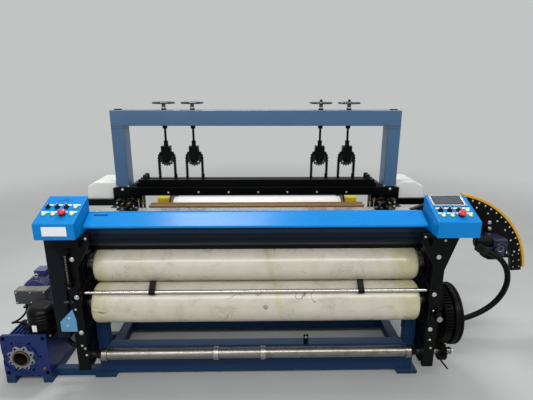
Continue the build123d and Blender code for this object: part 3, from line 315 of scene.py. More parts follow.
# the finishes that many pieces share
BLACK = "black enamel on steel"
CAST_BLACK = "black enamel on cast iron"
DARK_STEEL = "blackened steel"
TURNED = "turned steel"
GEAR = "greased gear steel"
CHAIN = "oiled roller chain"
CHROME = "chrome plated handwheel"
ZINC = "zinc plated screws"
BRASS = "yellow brass"
PLASTIC = "black moulded plastic"
RUBBER = "black rubber hose"
LABEL = "white label laminate"
BLUE = "machine blue alkyd enamel"
COVER = "cover blue powder coat"
NAVY = "navy enamel on gearbox"
YELLOW = "bright yellow enamel"
GUARD = "yellow enamel on guide edge"

# which way the tool marks run: drawn along X, turned about X, or no way at all
EVEN = (1.0, 1.0, 1.0)
ROUND = (1.0, 0.1, 0.1)

# how each finish of the machine is made, by the name that its material carries
FINISHES = {
    # sprayed over filler on welded steel, so its face is smooth and a little patchy
    BLUE: partial(painted, "machine_blue", 0.34, 0.2, 0.2, "#B9C4CC", 0.45),
    # the same enamel low on the base, its gloss dulled by oil and swarf and its blue darkened as painted
    # shade
    "oiled base blue enamel": partial(painted, "base_blue", 0.4, 0.03, 0.15, "#4E789E", shine=0.2),
    # dark blues of the breast beam under the cover, the pedestal and the strip on the beam; the beam's and
    # the strip's blues are machine blue darkened as painted shade
    "dark blue enamel": partial(painted, "#0B1826", 0.34, 0.03, 0.05, "#4D6884", 0.3, shine=0.12),
    "blue black enamel": partial(painted, "#070D18", 0.3, 0.03, 0.05, "#3F4A5A", 0.3, shine=0.12),
    "slate blue enamel": partial(painted, "#16304A", 0.32, 0.05, 0.05, "#6E8CA8", 0.3, shine=0.2),
    # a lug plate that was painted apart, paler and glossier
    "pale blue enamel": partial(painted, "#5795C0", 0.3, 0.2, 0.1, "#C9DCE8", 0.4, shine=0.4),
    # electrostatic powder on thin sheet: deep, even and glossy, with a fine orange peel
    COVER: partial(painted, "cover_blue", 0.2, 0.0, 0.0, "#3FA6E8", 0.3, 3.5, 0.1, shine=0.2),
    # on the black enamels the lighter edges are worn paint and painted highlight together
    # brushed on cast iron, so the sand cast grain shows through
    CAST_BLACK: partial(painted, "casting_black", 0.26, 0.02, 0.04, "#3C3F3D", 0.5, 6, 0.5, shine=0.1),
    # black paint on rolled sections and plates
    BLACK: partial(painted, "#040505", 0.26, 0.02, 0.04, "#44484B", 0.4, shine=0.1),
    # thick glossy coat on a cast housing; its lighter blue edges are partly wear and partly painted highlight
    NAVY: partial(painted, "drive_navy", 0.28, 0.1, 0.05, "#3F63A8", 0.5, 5, 0.3, shine=0.25),
    # hammered violet blue of small motors
    "violet blue motor enamel": partial(painted, "#2A3478", 0.34, 0.15, 0.4, "#707AB4", 0.5, 4, 0.35),
    # grey and dusty, on the box at the motor's end
    "slate enamel on brake box": partial(painted, "#30333B", 0.38, 0.1, 0.9, "#7F8694", 0.6, 4, 0.25),
    "deep blue enamel on rapier drive": partial(
        painted, "#0C1438", 0.28, 0.2, 0.05, "#424E92", 0.5, shine=0.4
    ),
    # warning yellows, warm on the guide's edge and greener on the guards
    GUARD: partial(painted, "guard_yellow", 0.3, 0.3, 0.1, "#F4DC86", 0.5),
    YELLOW: partial(painted, "#D2C21C", 0.3, 0.2, 0.05, "#F0E890", 0.4),
    # smooth gel over glass fibre
    "white gel coat": partial(painted, "cover_white", 0.25, 0.35, 0.05, "#FFFFFF", 0.2, 4, 0.08),
    # sprayed thinly on machined iron; its near white edges are bare iron showing through and painted
    # highlight
    "grey sprayed flange": partial(painted, "#7E8186", 0.28, 0.2, 0.1, "#E8E9EA", 0.9, 3, 0.2),
    # wound tight over the warp, even and softly glossy
    "warp roll white film": partial(painted, "#EDEBE6", 0.35, 0.1, 0.1, "#FFFFFF", 0.2),
    # ground and polished: nearly a mirror, with long faint marks
    "polished guide rod": partial(bare_metal, "#C4C3C0", 0.16, (0.01, 1.0, 1.0), 4, 0.08, depth=0.02),
    # cold drawn tube, grey and streaked lengthways with oil
    "drawn steel tube": partial(
        bare_metal, "#8E8A84", 0.28, (0.03, 1.0, 1.0), 9, 0.5, "#39342D", 0.12
    ),
    # turned in the lathe, with fine rings
    TURNED: partial(bare_metal, "#A4A29D", 0.3, ROUND, 2, 0.25),
    # the fell rail: ground flat, then spotted with rust and oil
    "ground and spotted steel": partial(
        bare_metal, "#E2E3E3", 0.26, (0.4, 1.0, 1.0), 9, 0.4, "#4E5052", 0.12
    ),
    # hardened gear teeth, dark with grease
    GEAR: partial(bare_metal, "#1E1D1B", 0.42, EVEN, 12, 0.6, "#0C0B0A", 0.2),
    # bright zinc on screws and nuts
    ZINC: partial(bare_metal, "#D3D3CE", 0.3, EVEN, 4, 0.25, "#6B655B", 0.1),
    # decorative chrome, its metal colour darkened as a painted reflection of dark surroundings
    CHROME: partial(bare_metal, "#505254", 0.14, EVEN, 20, 0.2, depth=0.04),
    # oxide blacked or oiled steel of small parts, chains and sprockets
    DARK_STEEL: partial(bare_metal, "#141415", 0.38, EVEN, 8, 0.3, "#080807", 0.15),
    CHAIN: partial(bare_metal, "#1C1B19", 0.35, EVEN, 5, 0.5, "#0C0B0A", 0.15),
    "worn sprocket steel": partial(bare_metal, "#3E3E3B", 0.4, EVEN, 7, 0.5, "#171614", 0.2),
    # brass gone brown, and a bronze bush dull with oil
    BRASS: partial(bare_metal, "#9C7436", 0.3, EVEN, 6, 0.35, "#4A361B", 0.1),
    "cast bronze bush": partial(bare_metal, "#75675A", 0.42, (1.0, 0.1, 1.0), 3, 0.5, "#1F1812", 0.2),
    # brushed along X before it was anodised
    "anodised aluminium bezel": partial(bare_metal, "#D5D7DA", 0.34, (0.05, 1.0, 1.0), 1.5, 0.1, depth=0.05),
    # plastics: spark eroded black, glossy red, flat labels and clear lenses over them
    PLASTIC: partial(moulded, "#080809", 0.36, dust=0.04, shine=0.2),
    "red moulded plastic": partial(moulded, "#C8141C", 0.28, 2, 0.06, 0.04, 0.3),
    LABEL: partial(moulded, "#E9EBEC", 0.3, 2, 0.03, 0.05),
    "pale button lens": partial(moulded, "#D9DCC4", 0.2, 3, 0.03, 0.03, 0.4),
    # green lens of a push button, unlit: clear depth under a smooth face
    "green button lens": partial(
        moulded, "#4E9C4A", 0.2, 3, 0.03, 0.05, 0.4, **{"Subsurface Weight": 0.15, "Subsurface Scale": 0.004}
    ),
    # matt ribbed rubber
    RUBBER: partial(moulded, "#040404", 0.5, 2.2, 0.5, 0.02, shine=0.12),
    "cream wrapping film": wrapping_film,
    "brown laminate board": laminate_board,
    "dark screen glass": screen_glass,
}


def finish(name):
    """The material with this name, made the first time that a piece needs it."""
    return bpy.data.materials.get(name) or FINISHES[name](name=name)


# ---- shapes, drawn in millimetres about their own Z

FACING = {
    "up": ((1, 0, 0), (0, 1, 0), (0, 0, 1)),
    "front": ((1, 0, 0), (0, 0, -1), (0, 1, 0)),
    "back": ((-1, 0, 0), (0, 0, 1), (0, 1, 0)),
    "right": ((0, 0, 1), (1, 0, 0), (0, 1, 0)),
    "left": ((0, 0, -1), (-1, 0, 0), (0, 1, 0)),
}
# the facing of either side of the machine, by its sign
SIDES = {-1: "left", 1: "right"}


def turn_x(degrees):
    """A turn about X."""
    return Matrix.Rotation(math.radians(degrees), 4, "X")


def turn_z(degrees):
    """A turn about Z."""
    return Matrix.Rotation(math.radians(degrees), 4, "Z")


def moved(x, y, z):
    """A shift along each axis."""
    return Matrix.Translation((x, y, z))


def at(x, y, z, facing="up", turn=0.0):
    """Where a shape goes, which way its Z faces, and its turn about that in degrees."""
    return moved(x, y, z) @ Matrix(FACING[facing]).to_4x4() @ turn_z(turn)


def aimed(start, towards):
    """A place at a point with Z along a direction."""
    return Matrix.Translation(start) @ Vector(towards).to_track_quat("Z", "Y").to_matrix().to_4x4()


def around(centre, radius, angles):
    """Places round a centre at angles in degrees, all turned as the centre is."""
    turns = [math.radians(angle) for angle in angles]
    return [centre @ moved(radius * math.cos(turn), radius * math.sin(turn), 0) for turn in turns]


def round_edges(shape, width, segments=2, angle=30, least=0.0):
    """Rounds the edges that are sharper than an angle and longer than a length."""
    if width:
        bmesh.ops.recalc_face_normals(shape, faces=shape.faces)
        whole = [edge for edge in shape.edges if edge.is_manifold and edge.calc_length() > least]
        sharp = [edge for edge in whole if edge.calc_face_angle() > math.radians(angle)]
        bmesh.ops.bevel(
            shape, geom=sharp, offset=width, segments=segments, profile=0.5, affect="EDGES", material=-1,
            clamp_overlap=True,
        )
    return shape


def block(x, y, z, edge=0.0, segments=2):
    """A block between three pairs of faces."""
    shape = bmesh.new()
    spans = [sorted(pair) for pair in (x, y, z)]
    bmesh.ops.create_cube(shape, size=1)
    bmesh.ops.scale(shape, vec=[high - low for low, high in spans], verts=shape.verts)
    bmesh.ops.translate(shape, vec=[(low + high) / 2 for low, high in spans], verts=shape.verts)
    return round_edges(shape, edge, segments)


def disc(radius, thick, edge=0.0, sides=32):
    """A round or many sided disc standing on its place."""
    shape = bmesh.new()
    bmesh.ops.create_cone(shape, cap_ends=True, segments=sides, radius1=radius, radius2=radius, depth=thick)
    bmesh.ops.translate(shape, vec=(0, 0, thick / 2), verts=shape.verts)
    return round_edges(shape, edge, 2, 50 if sides > 8 else 30)


def raised(shape, thick):
    """Gives a flat shape its thickness."""
    grown = bmesh.ops.extrude_face_region(shape, geom=shape.faces[:])["geom"]
    verts = [part for part in grown if isinstance(part, bmesh.types.BMVert)]
    bmesh.ops.translate(shape, vec=(0, 0, thick), verts=verts)
    return shape


def plate(outline, thick, edge=0.0, segments=2):
    """A plate with this outline, standing on its place."""
    shape = bmesh.new()
    shape.faces.new([shape.verts.new((x, y, 0)) for x, y in outline])
    return round_edges(raised(shape, thick), edge, segments)


def spun(shape, steps, turn=math.tau, **settings):
    """Turns all that a shape holds about Z."""
    held = shape.verts[:] + shape.edges[:] + shape.faces[:]
    bmesh.ops.spin(shape, geom=held, cent=(0, 0, 0), axis=(0, 0, 1), angle=turn, steps=steps, **settings)
    return shape


def turned(profile, steps=64, closed=False):
    """A shape turned about Z from points of radius and height."""
    shape = bmesh.new()
    verts = [shape.verts.new((radius, 0, height)) for radius, height in profile]
    for pair in zip(verts, verts[1:] + (verts[:1] if closed else [])):
        shape.edges.new(pair)
    return spun(shape, steps, use_merge=True)


def washer(inner, outer, low, high, steps):
    """A ring of square section."""
    return turned([(inner, low), (outer, low), (outer, high), (inner, high)], steps, True)


def wire_section(radius, section, sides, height=0.0, capped=False):
    """The round section of a ring or a spring, set out from Z."""
    shape = bmesh.new()
    bmesh.ops.create_circle(shape, cap_ends=capped, segments=sides, radius=section)
    bmesh.ops.rotate(shape, cent=(0, 0, 0), matrix=Matrix.Rotation(math.pi / 2, 3, "X"), verts=shape.verts)
    bmesh.ops.translate(shape, vec=(radius, 0, height), verts=shape.verts)
    return shape


def hoop(radius, section, steps=48, sides=10):
    """A ring of round section."""
    return spun(wire_section(radius, section, sides), steps, use_merge=True)


def coil(radius, wire, rise, turns, sides=8, steps=20):
    """A spring that climbs its rise at each turn."""
    section = wire_section(radius, wire, sides, wire, True)
    return spun(section, int(steps * turns), math.tau * turns, dvec=(0, 0, rise / steps))


def toothed(teeth, tip, root, thick, edge=0.0):
    """A gear blank whose rim rises and falls into teeth."""
    shape = bmesh.new()
    bmesh.ops.create_circle(shape, cap_ends=True, segments=teeth * 4, radius=1)
    for n, vert in enumerate(sorted(shape.verts, key=lambda v: math.atan2(v.co.y, v.co.x))):
        vert.co = vert.co.normalized() * (tip if n % 4 in (1, 2) else root)
    return round_edges(raised(shape, thick), edge, 1, 60)


def lobed(shape, radius, wave, lobes, first=0.0):
    """Moves a circle's points so that its rim rises and falls in lobes."""
    for vert in shape.verts:
        angle = math.atan2(vert.co.y, vert.co.x) - math.radians(first)
        vert.co = vert.co.normalized() * (radius + wave * math.cos(lobes * angle))


def linked(name, data, matrix=Matrix()):
    """A new object in the scene."""
    made = bpy.data.objects.new(name, data)
    bpy.context.collection.objects.link(made)
    made.matrix_world = matrix
    return made


# edges turned by more than this many degrees stay sharp
SHARP = 38


class Piece:
    """A mesh drawn in millimetres, shape by shape, each shape with its own finish."""

    def __init__(self, name):
        self.name = name
        self.whole = bmesh.new()
        self.finishes = []

    def add(self, shape, finish_name, *places):
        """Adds a shape at one or more places."""
        if finish_name not in self.finishes:
            self.finishes.append(finish_name)
        for face in shape.faces:
            face.material_index = self.finishes.index(finish_name)
        bmesh.ops.remove_doubles(shape, verts=shape.verts, dist=0.001)
        bmesh.ops.recalc_face_normals(shape, faces=shape.faces)
        loose = bpy.data.meshes.new("shape")
        shape.to_mesh(loose)
        for place in places or (Matrix(),):
            copy = loose.copy()
            copy.transform(place)
            self.whole.from_mesh(copy)
            bpy.data.meshes.remove(copy)
        bpy.data.meshes.remove(loose)
        shape.free()

    def done(self, body, *replaced, slot=None):
        """Finishes the piece in metres, rides it on its body and hides the nodes it stands for."""
        bmesh.ops.scale(self.whole, vec=(0.001, 0.001, 0.001), verts=self.whole.verts)
        mesh = bpy.data.meshes.new(self.name)
        self.whole.to_mesh(mesh)
        self.whole.free()
        for name in self.finishes:
            mesh.materials.append(finish(name))
        mesh.shade_smooth()
        mesh.set_sharp_from_angle(angle=math.radians(SHARP))
        made = linked(self.name, mesh)
        made.modifiers.new("even normals", "WEIGHTED_NORMAL").keep_sharp = True
        if replaced:
            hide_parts(*replaced)
        if body:
            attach(made, body)
        return made


def softened(node, finish_name, width, least=60):
    """A copy of a CAD node with its long edges rounded, so that they catch light as folded sheet does."""
    source = frame["nodes"][node]
    shape = bmesh.new()
    shape.from_mesh(source.data)
    bmesh.ops.scale(shape, vec=(1000, 1000, 1000), verts=shape.verts)
    bmesh.ops.remove_doubles(shape, verts=shape.verts, dist=0.01)
    bmesh.ops.dissolve_limit(shape, angle_limit=math.radians(0.5), verts=shape.verts, edges=shape.edges)
    piece = Piece(node + "_softened")
    piece.add(round_edges(shape, width, 3, 30, least), finish_name)
    piece.done(source["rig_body"], node)


def dress(finish_name, *nodes):
    """Gives CAD nodes whose shape is right their finish."""
    for node in nodes:
        materials = frame["nodes"][node].data.materials
        materials.clear()
        materials.append(finish(finish_name))


# the heads of screws, as points of radius and height for a radius of 1
HEADS = {
    "socket": [(0, 0.35), (0.52, 0.35), (0.52, 0.92), (0.9, 0.92), (1, 0.82), (1, 0), (0, 0)],
    "dome": [(0, 0), (1, 0), (0.97, 0.22), (0.8, 0.48), (0.45, 0.64), (0, 0.7)],
}


def screw(piece, radius, *places, kind="hex", metal=ZINC, on_washer=True):
    """A screw head on its washer: hexagon, socket or dome."""
    if on_washer:
        rise = radius * 0.2
        piece.add(disc(radius * 1.4, rise, radius * 0.06, 24), metal, *places)
        places = [place @ moved(0, 0, rise) for place in places]
    if kind == "hex":
        piece.add(disc(radius, radius * 0.75, radius * 0.12, 6), metal, *places)
    else:
        piece.add(turned([(r * radius, h * radius) for r, h in HEADS[kind]], 20), metal, *places)


def sunk(piece, radius, *places, metal=DARK_STEEL):
    """Socket screws without washers."""
    screw(piece, radius, *places, kind="socket", metal=metal, on_washer=False)


def cord_curve(name, node, route, radius):
    """A round cord along its route, smooth from end to end, in place of its node."""
    curve = bpy.data.curves.new(name, "CURVE")
    curve.dimensions = "3D"
    curve.bevel_depth = radius
    curve.bevel_resolution = 6
    curve.resolution_u = 14
    curve.use_fill_caps = True
    spline = curve.splines.new("NURBS")
    spline.points.add(len(route) - 1)
    for point, place in zip(spline.points, route):
        point.co = (*place, 1)
    spline.order_u = 3
    spline.use_endpoint_u = True
    curve.materials.append(finish(RUBBER))
    made = linked(name, curve)
    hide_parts(node)
    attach(made, "frame")
    return made


# ---- places shared by several groups, in millimetres


def bearing(start, end):
    """The angle from one shaft to another, seen along X, in degrees."""
    return math.degrees(math.atan2(end[1] - start[1], end[0] - start[0]))


# depth and height of the shafts of the take-up train
UPPER = (-619, 709.04)
LOWER = (-676, 509)
WHEEL = (-620, 389.47)
WINDING = (-720, 202.82)
DOWN = bearing(LOWER, WHEEL)
FORWARD = bearing(WHEEL, WINDING)
# the lifting chains: their depth, the height of the handwheels over them, where the four hang, the height
# of their sprockets, their pitch and the thickness of a link's plates
CHAIN_Y = 153
HANDWHEEL_Z = 1560
LIFT_X = (-640, -445, 445, 640)
SPROCKET_Z = 1177
PITCH = 19.05
LINK_PLATE = 2.2
PITCH_RADIUS = PITCH / 2 / math.sin(math.pi / 18)
# the slopes of the breast cover and of the desks, and the desks' front edge in depth and height
COVER_SLOPE = math.degrees(math.atan2(44, 94))
DESK_SLOPE = math.degrees(math.atan2(87, 210))
DESK_EDGE = (-850, 1023)
# for each desk, its reach along X and the rows of its controls up the slope
DESKS = {"left": ((-1090, -890), (130, 74)), "right": ((900, 1115), (92, 52))}
# the shafts of the gearbox, the warp beam and the arc of the tape guide
GEARBOX = (-1345, 172)
WARP = (1050, 500)
GUIDE = (1265, 405)
# where the photograph is taken from, in metres and degrees, and its lens in millimetres
CAMERA_PLACE = (0.008, -2.756, 1.666)
PAN, TILT, ROLL = -1.19, 74.62, 0.12
LENS, SENSOR = 27.77, 36
# tone of the background and of the floor far away
PALE = (0.54, 0.55, 0.55, 1)
# distances in metres between which the floor turns into the background
FLOOR_FADES = (2.4, 7)


def on_desk(x, along):
    """A place on the slope of a desk, measured up from its front edge."""
    return moved(x, *DESK_EDGE) @ turn_x(DESK_SLOPE) @ moved(0, along, 0)


def along_x(profile, side):
    """A profile on one side of the machine, with its heights measured from the middle."""
    return [(radius, side * height) for radius, height in profile]


def mirrored(profile):
    """The other end of a profile that is the same at both ends."""
    return along_x(profile[::-1], -1)


def seen(tree):
    """1 for the rays that show a surface to the camera, straight or by way of metal and glass."""
    rays = add(tree, "LightPath").outputs
    direct = add(tree, "Math", {0: rays["Is Camera Ray"], 1: rays["Is Glossy Ray"]}, operation="MAXIMUM")
    return add(tree, "Math", {0: direct, 1: rays["Is Transmission Ray"]}, operation="MAXIMUM")


# ---- one operator for each group


class WEAVING_OT_stage(bpy.types.Operator):
    """Sets up the camera, the lamps, the world and the pale floor"""

    bl_idname = "weaving.stage"
    bl_label = "Camera, light and floor"

    def execute(self, context):
        scene = context.scene
        lens = bpy.data.cameras.new("camera")
        lens.lens, lens.sensor_width = LENS, SENSOR
        place = moved(*CAMERA_PLACE) @ turn_z(PAN) @ turn_x(TILT) @ turn_z(ROLL)
        scene.camera = linked("camera", lens, place)
        for name, place, target, size, power in (
            ("front strip lamps", (0.2, -4.0, 4.0), (0, -0.5, 0.7), (6.0, 0.6), 150),
            ("middle strip lamps", (0.0, -0.3, 4.6), (0, 0.1, 0.5), (6.0, 0.6), 45),
            ("rear strip lamps", (0.0, 3.4, 4.2), (0, 0.8, 0.5), (6.0, 1.0), 40),
            ("skylight", (-0.58, 1.05, 4.6), (-0.3, -0.6, 1.0), (1.5, 0.6), 95),
            ("front fill", (-1.6, -5.0, 2.2), (0, -0.4, 0.6), (3.0, 2.0), 22),
            ("side fill", (4.4, -2.4, 2.6), (0.4, -0.2, 0.6), (2.0, 2.0), 22),
        ):
            lamp = bpy.data.lights.new(name, "AREA")
            lamp.shape = "RECTANGLE"
            lamp.size, lamp.size_y = size
            lamp.energy = power
            way = (Vector(target) - Vector(place)).to_track_quat("-Z", "Y").to_matrix().to_4x4()
            linked(name, lamp, Matrix.Translation(place) @ way)
        world = bpy.data.worlds.new("pale hall")
        world.use_nodes = True
        tree = world.node_tree
        tree.nodes.clear()
        lit = add(tree, "Background", {"Color": linear("#E9EDF0"), "Strength": 0.34})
        pale = add(tree, "Background", {"Color": PALE, "Strength": 1.0})
        both = add(tree, "MixShader", {0: seen(tree), 1: lit, 2: pale})
        add(tree, "OutputWorld", {"Surface": both})
        scene.world = world
        scene.view_settings.view_transform = "Standard"
        # sealed concrete, pale and slightly mottled, with a soft gloss
        made, tree, shader, place = start_material("sealed pale concrete")
        mottle = add(tree, "TexNoise", {"Vector": place, "Scale": per(700), "Detail": 6})
        greys = {6: linear("#B4B6B4"), 7: linear("#C2C4C1")}
        tone = add(tree, "Mix", {0: mottle} | greys, data_type="RGBA")
        feed(tree, shader, {"Base Color": tone, "Roughness": 0.6})
        # far from the machine the floor is seen in the background's tone, so that no horizon shows
        reach = add(tree, "VectorMath", {0: place}, operation="LENGTH")
        near, away = FLOOR_FADES
        fade = {"Value": reach, "From Min": near, "From Max": away}
        far = add(tree, "MapRange", fade, interpolation_type="SMOOTHSTEP")
        share = add(tree, "Math", {0: far, 1: seen(tree)}, operation="MULTIPLY")
        pale = add(tree, "Emission", {"Color": PALE})
        both = add(tree, "MixShader", {0: share, 1: shader, 2: pale})
        end = next(node for node in tree.nodes if node.type == "OUTPUT_MATERIAL")
        feed(tree, end, {"Surface": both})
        mesh = bpy.data.meshes.new("floor")
        shape = bmesh.new()
        bmesh.ops.create_grid(shape, x_segments=1, y_segments=1, size=40)
        shape.to_mesh(mesh)
        shape.free()
        mesh.materials.append(made)
        floor = linked("floor", mesh)
        return {"FINISHED"}


class WEAVING_OT_cords(bpy.types.Operator):
    """Lays the rapier drive's hose and the servo motor's cable"""

    bl_idname = "weaving.cords"
    bl_label = "Hose and cable"

    def execute(self, context):
        route = [
            (1.440, -0.372, 0.672), (1.512, -0.372, 0.642), (1.571, -0.370, 0.589),
            (1.609, -0.365, 0.519), (1.622, -0.358, 0.440), (1.609, -0.348, 0.361),
            (1.572, -0.340, 0.290), (1.514, -0.332, 0.230), (1.441, -0.324, 0.183),
            (1.354, -0.317, 0.149), (1.258, -0.310, 0.126), (1.150, -0.304, 0.113),
            (1.040, -0.300, 0.108),
        ]
        hose = cord_curve("rapier_hose_line", "rapier_hose", route, 0.0175)
        run = [
            (-1.372, -0.600, 0.337), (-1.407, -0.600, 0.337), (-1.435, -0.589, 0.327),
            (-1.454, -0.568, 0.313), (-1.461, -0.540, 0.300), (-1.457, -0.509, 0.293),
            (-1.447, -0.480, 0.297), (-1.434, -0.457, 0.314), (-1.426, -0.445, 0.342),
            (-1.426, -0.445, 0.377),
        ]
        cable = cord_curve("servo_cable_line", "servo_cable", run, 0.006)
        ends = Piece("cord_glands")
        for (start, after), radius in ((route[:2], 24), (route[:-3:-1], 25), (run[:2], 10)):
            begin = Vector(start) * 1000
            way = Vector(after) * 1000 - begin
            place = aimed(begin - way.normalized() * radius * 0.5, way)
            ends.add(disc(radius, radius * 0.45, 1.5, 6), PLASTIC, place)
            top = radius * 0.78
            dome = [(top * 0.7, 0), (top, 0), (top, radius * 0.3), (top * 0.82, radius * 0.5)]
            dome += [(top * 0.7, radius * 0.5)]
            ends.add(turned(dome, 24, True), PLASTIC, place @ moved(0, 0, radius * 0.45))
        ends.done("frame", slot="black_plastic")
        return {"FINISHED"}


class WEAVING_OT_plain_nodes(bpy.types.Operator):
    """Paints the CAD nodes whose shape is right"""

    bl_idname = "weaving.plain_nodes"
    bl_label = "Paint on plain nodes"

    def execute(self, context):
        dress(CAST_BLACK, "left_side_casting", "right_side_casting")
        # the base frame's blue is darkened as painted shade
        dress("oiled base blue enamel", "base_frame")
        dress(BLUE, "sley_rocker")
        # the breast beam under the cover is darkened as painted shade
        dress("dark blue enamel", "breast_beam")
        dress(BLACK, "bent_tube", "tape_guide_plate", *[f"hanger_block_{n}" for n in range(1, 5)])
        dress(DARK_STEEL, "weft_clamps")
        dress(GUARD, "warp_stands")
        dress("worn sprocket steel", *[f"lift_sprocket_{n}" for n in range(1, 5)])
        softened("portal_frame", BLUE, 5)
        softened("front_cross_bar", BLACK, 2.5, 30)
        softened("breast_cover", COVER, 1.3)
        softened("fell_rail", "ground and spotted steel", 2)
        softened("race_board", "brown laminate board", 1.5)
        softened("left_pedestal", "blue black enamel", 6)
        softened("side_covers", "white gel coat", 4, 20)
        softened("heald_frame_front", BLACK, 2)
        softened("heald_frame_rear", BLACK, 2)
        softened("gearbox_housing", NAVY, 3)
        return {"FINISHED"}


class WEAVING_OT_rollers(bpy.types.Operator):
    """Turns the two film wrapped take-up rollers, the guide rod and the winding shaft"""

    bl_idname = "weaving.rollers"
    bl_label = "Rollers, rod and winding shaft"

    def wrapped(self, name, centre, radius, seed, geared=False):
        """A wrapped roller: film with soft shoulders over steel journals, one of them longer for a gear."""
        piece = Piece(name)
        half = 885
        shoulder = [(31, -half), (radius - 13, -half), (radius - 7, 1.5 - half), (radius - 2.5, 6 - half)]
        shoulder += [(radius - 0.5, 13 - half), (radius, 20 - half)]
        rows = [(radius, x) for x in range(-820, 821, 40)]
        film = turned(shoulder + rows + mirrored(shoulder), 96)
        waves = sizes().film_waves * 1000
        for vert in film.verts:
            if vert.co.xy.length > radius - 1:
                spot = Vector((vert.co.x / 60, vert.co.y / 60, vert.co.z / 170 + seed))
                vert.co.xy *= 1 + waves * noise.noise(spot) / radius
        place = at(0, *centre, "right")
        piece.add(film, "cream wrapping film", place)
        for side in (-1, 1):
            shaft = [(0, half - 1), (30, half - 1), (30, 984), (28.5, 985.5)]
            shaft += [(24, 985.5)] if geared else []
            shaft += [(24, 1025), (0, 1025)] if geared and side > 0 else [(0, 985.5)]
            piece.add(turned(along_x(shaft, side), 40), TURNED, place)
            # the bare rubber edge under the film
            rubber = [(31, half + 1), (radius - 16, half + 1), (radius - 14, half - 1), (31, half - 1)]
            piece.add(turned(along_x(rubber, side), 64, True), RUBBER, place)
        return piece

    def execute(self, context):
        self.wrapped("upper_roller_wrapped", UPPER, 92, 3).done("upper_roller", "upper_roller")
        lower = self.wrapped("lower_roller_wrapped", LOWER, 112, 9, True)
        lower.add(toothed(24, 71.2, 59.4, 22, 0.6), GEAR, at(1004, *LOWER, "right", DOWN))
        lower.done("lower_roller", "lower_roller")

        rod = Piece("guide_rod_polished")
        half = [(0, -937), (6, -937), (6, -921), (9.8, -911)]
        rod.add(turned(half + mirrored(half), 32), "polished guide rod", at(0, -760, 610, "right"))
        rod.done("frame", "guide_rod")

        fingers = Piece("rod_fingers_strapped")
        for x in (-560, 560):
            low = x - 16
            strap = [(-766, 619), (-752, 619), (-714, 645), (-718, 658), (-733, 657)]
            fingers.add(plate(strap, 32, 1.5), BLACK, at(low, 0, 0, "right"))
            fingers.add(washer(9.9, 16.5, 0, 32, 32), BLACK, at(low, -760, 610, "right"))
            sunk(fingers, 4, at(x, -776, 610, "front"))
        fingers.done("frame", "rod_fingers")

        shaft = Piece("winding_shaft_turned")
        place = at(0, *WINDING, "right")
        bearing_end = [(24, -900), (33, -878), (37.5, -874), (37.5, -846.5), (36, -845), (30, -845)]
        left = [(0, -991), (17.5, -991), (17.5, -915)] + bearing_end
        right = mirrored(bearing_end) + [(17.5, 915), (17.5, 1075), (0, 1075)]
        shaft.add(turned(left + right, 48), "drawn steel tube", place)
        # spring clutch beyond the pinion
        for start in range(1075, 1115, 10):
            rib = [(0, 0), (15, 0), (19, 0.5), (20, 1.5), (20, 5), (19, 6), (15, 6.5), (15, 10), (0, 10)]
            shaft.add(turned(rib, 32), TURNED, place @ moved(0, 0, start))
        cap = [(0, 1115), (11, 1115), (11, 1125.5), (9.5, 1127), (0, 1127)]
        shaft.add(turned(cap, 24), ZINC, place)
        shaft.add(toothed(17, 51.9, 40.2, 40, 0.8), GEAR, at(1035, *WINDING, "right", FORWARD + 180))
        # split clamp collars with their screws, and the set collars at the ends
        y, z = WINDING
        for x in (-234, 32):
            ring = [(30, -14), (36.5, -14), (37.5, -13), (37.5, 13), (36.5, 14), (30, 14)]
            shaft.add(turned(ring, 48, True), TURNED, at(x, y, z, "right"))
            for spot in (x - 8, x + 8):
                places = at(spot, y - 36, z + 5, "front"), at(spot, y, z + 35, "up")
                shaft.add(disc(3.6, 4, 0.6, 16), ZINC, *places)
        for x in (-860, 860):
            for angle in (35, 125, 215, 305):
                spot = moved(x, y, z) @ turn_x(angle) @ moved(0, 0, 36)
                shaft.add(disc(4.5, 3, 0.6, 6), DARK_STEEL, spot)
        shaft.done("winding_shaft", "winding_shaft")
        return {"FINISHED"}


class WEAVING_OT_take_up(bpy.types.Operator):
    """Cuts the large take-up wheel with its counter gear and outer disc"""

    bl_idname = "weaving.take_up"
    bl_label = "Take-up wheel"

    def execute(self, context):
        piece = Piece("take_up_wheel_cut")
        place = at(0, *WHEEL, "right")
        piece.add(turned([(0, 936), (20, 936), (20, 1080), (0, 1080)], 40), TURNED, place)
        piece.add(toothed(24, 71.2, 59.4, 22, 0.6), GEAR, at(1004, *WHEEL, "right", DOWN + 187.5))
        piece.add(toothed(60, 170.2, 158.4, 40, 0.8), GEAR, at(1035, *WHEEL, "right", FORWARD))
        rim = [(0, 1075), (147, 1075), (148, 1090), (171, 1090), (176, 1096), (178, 1100), (178, 1104)]
        rim += [(172, 1107), (172, 1117), (178, 1120), (178, 1126), (175, 1132), (168, 1135)]
        rim += [(150, 1135), (144, 1127), (60, 1127), (52, 1133), (0, 1133)]
        piece.add(turned(rim, 96), BLACK, place)
        sunk(piece, 6, *around(at(1132.5, *WHEEL, "right"), 38, range(20, 380, 60)))
        holes = around(at(1126.5, *WHEEL, "right"), 102, range(12, 372, 72))
        piece.add(washer(17, 21, 0, 2.5, 28), BLACK, *holes)
        piece.done("take_up_wheel", "take_up_wheel")
        return {"FINISHED"}


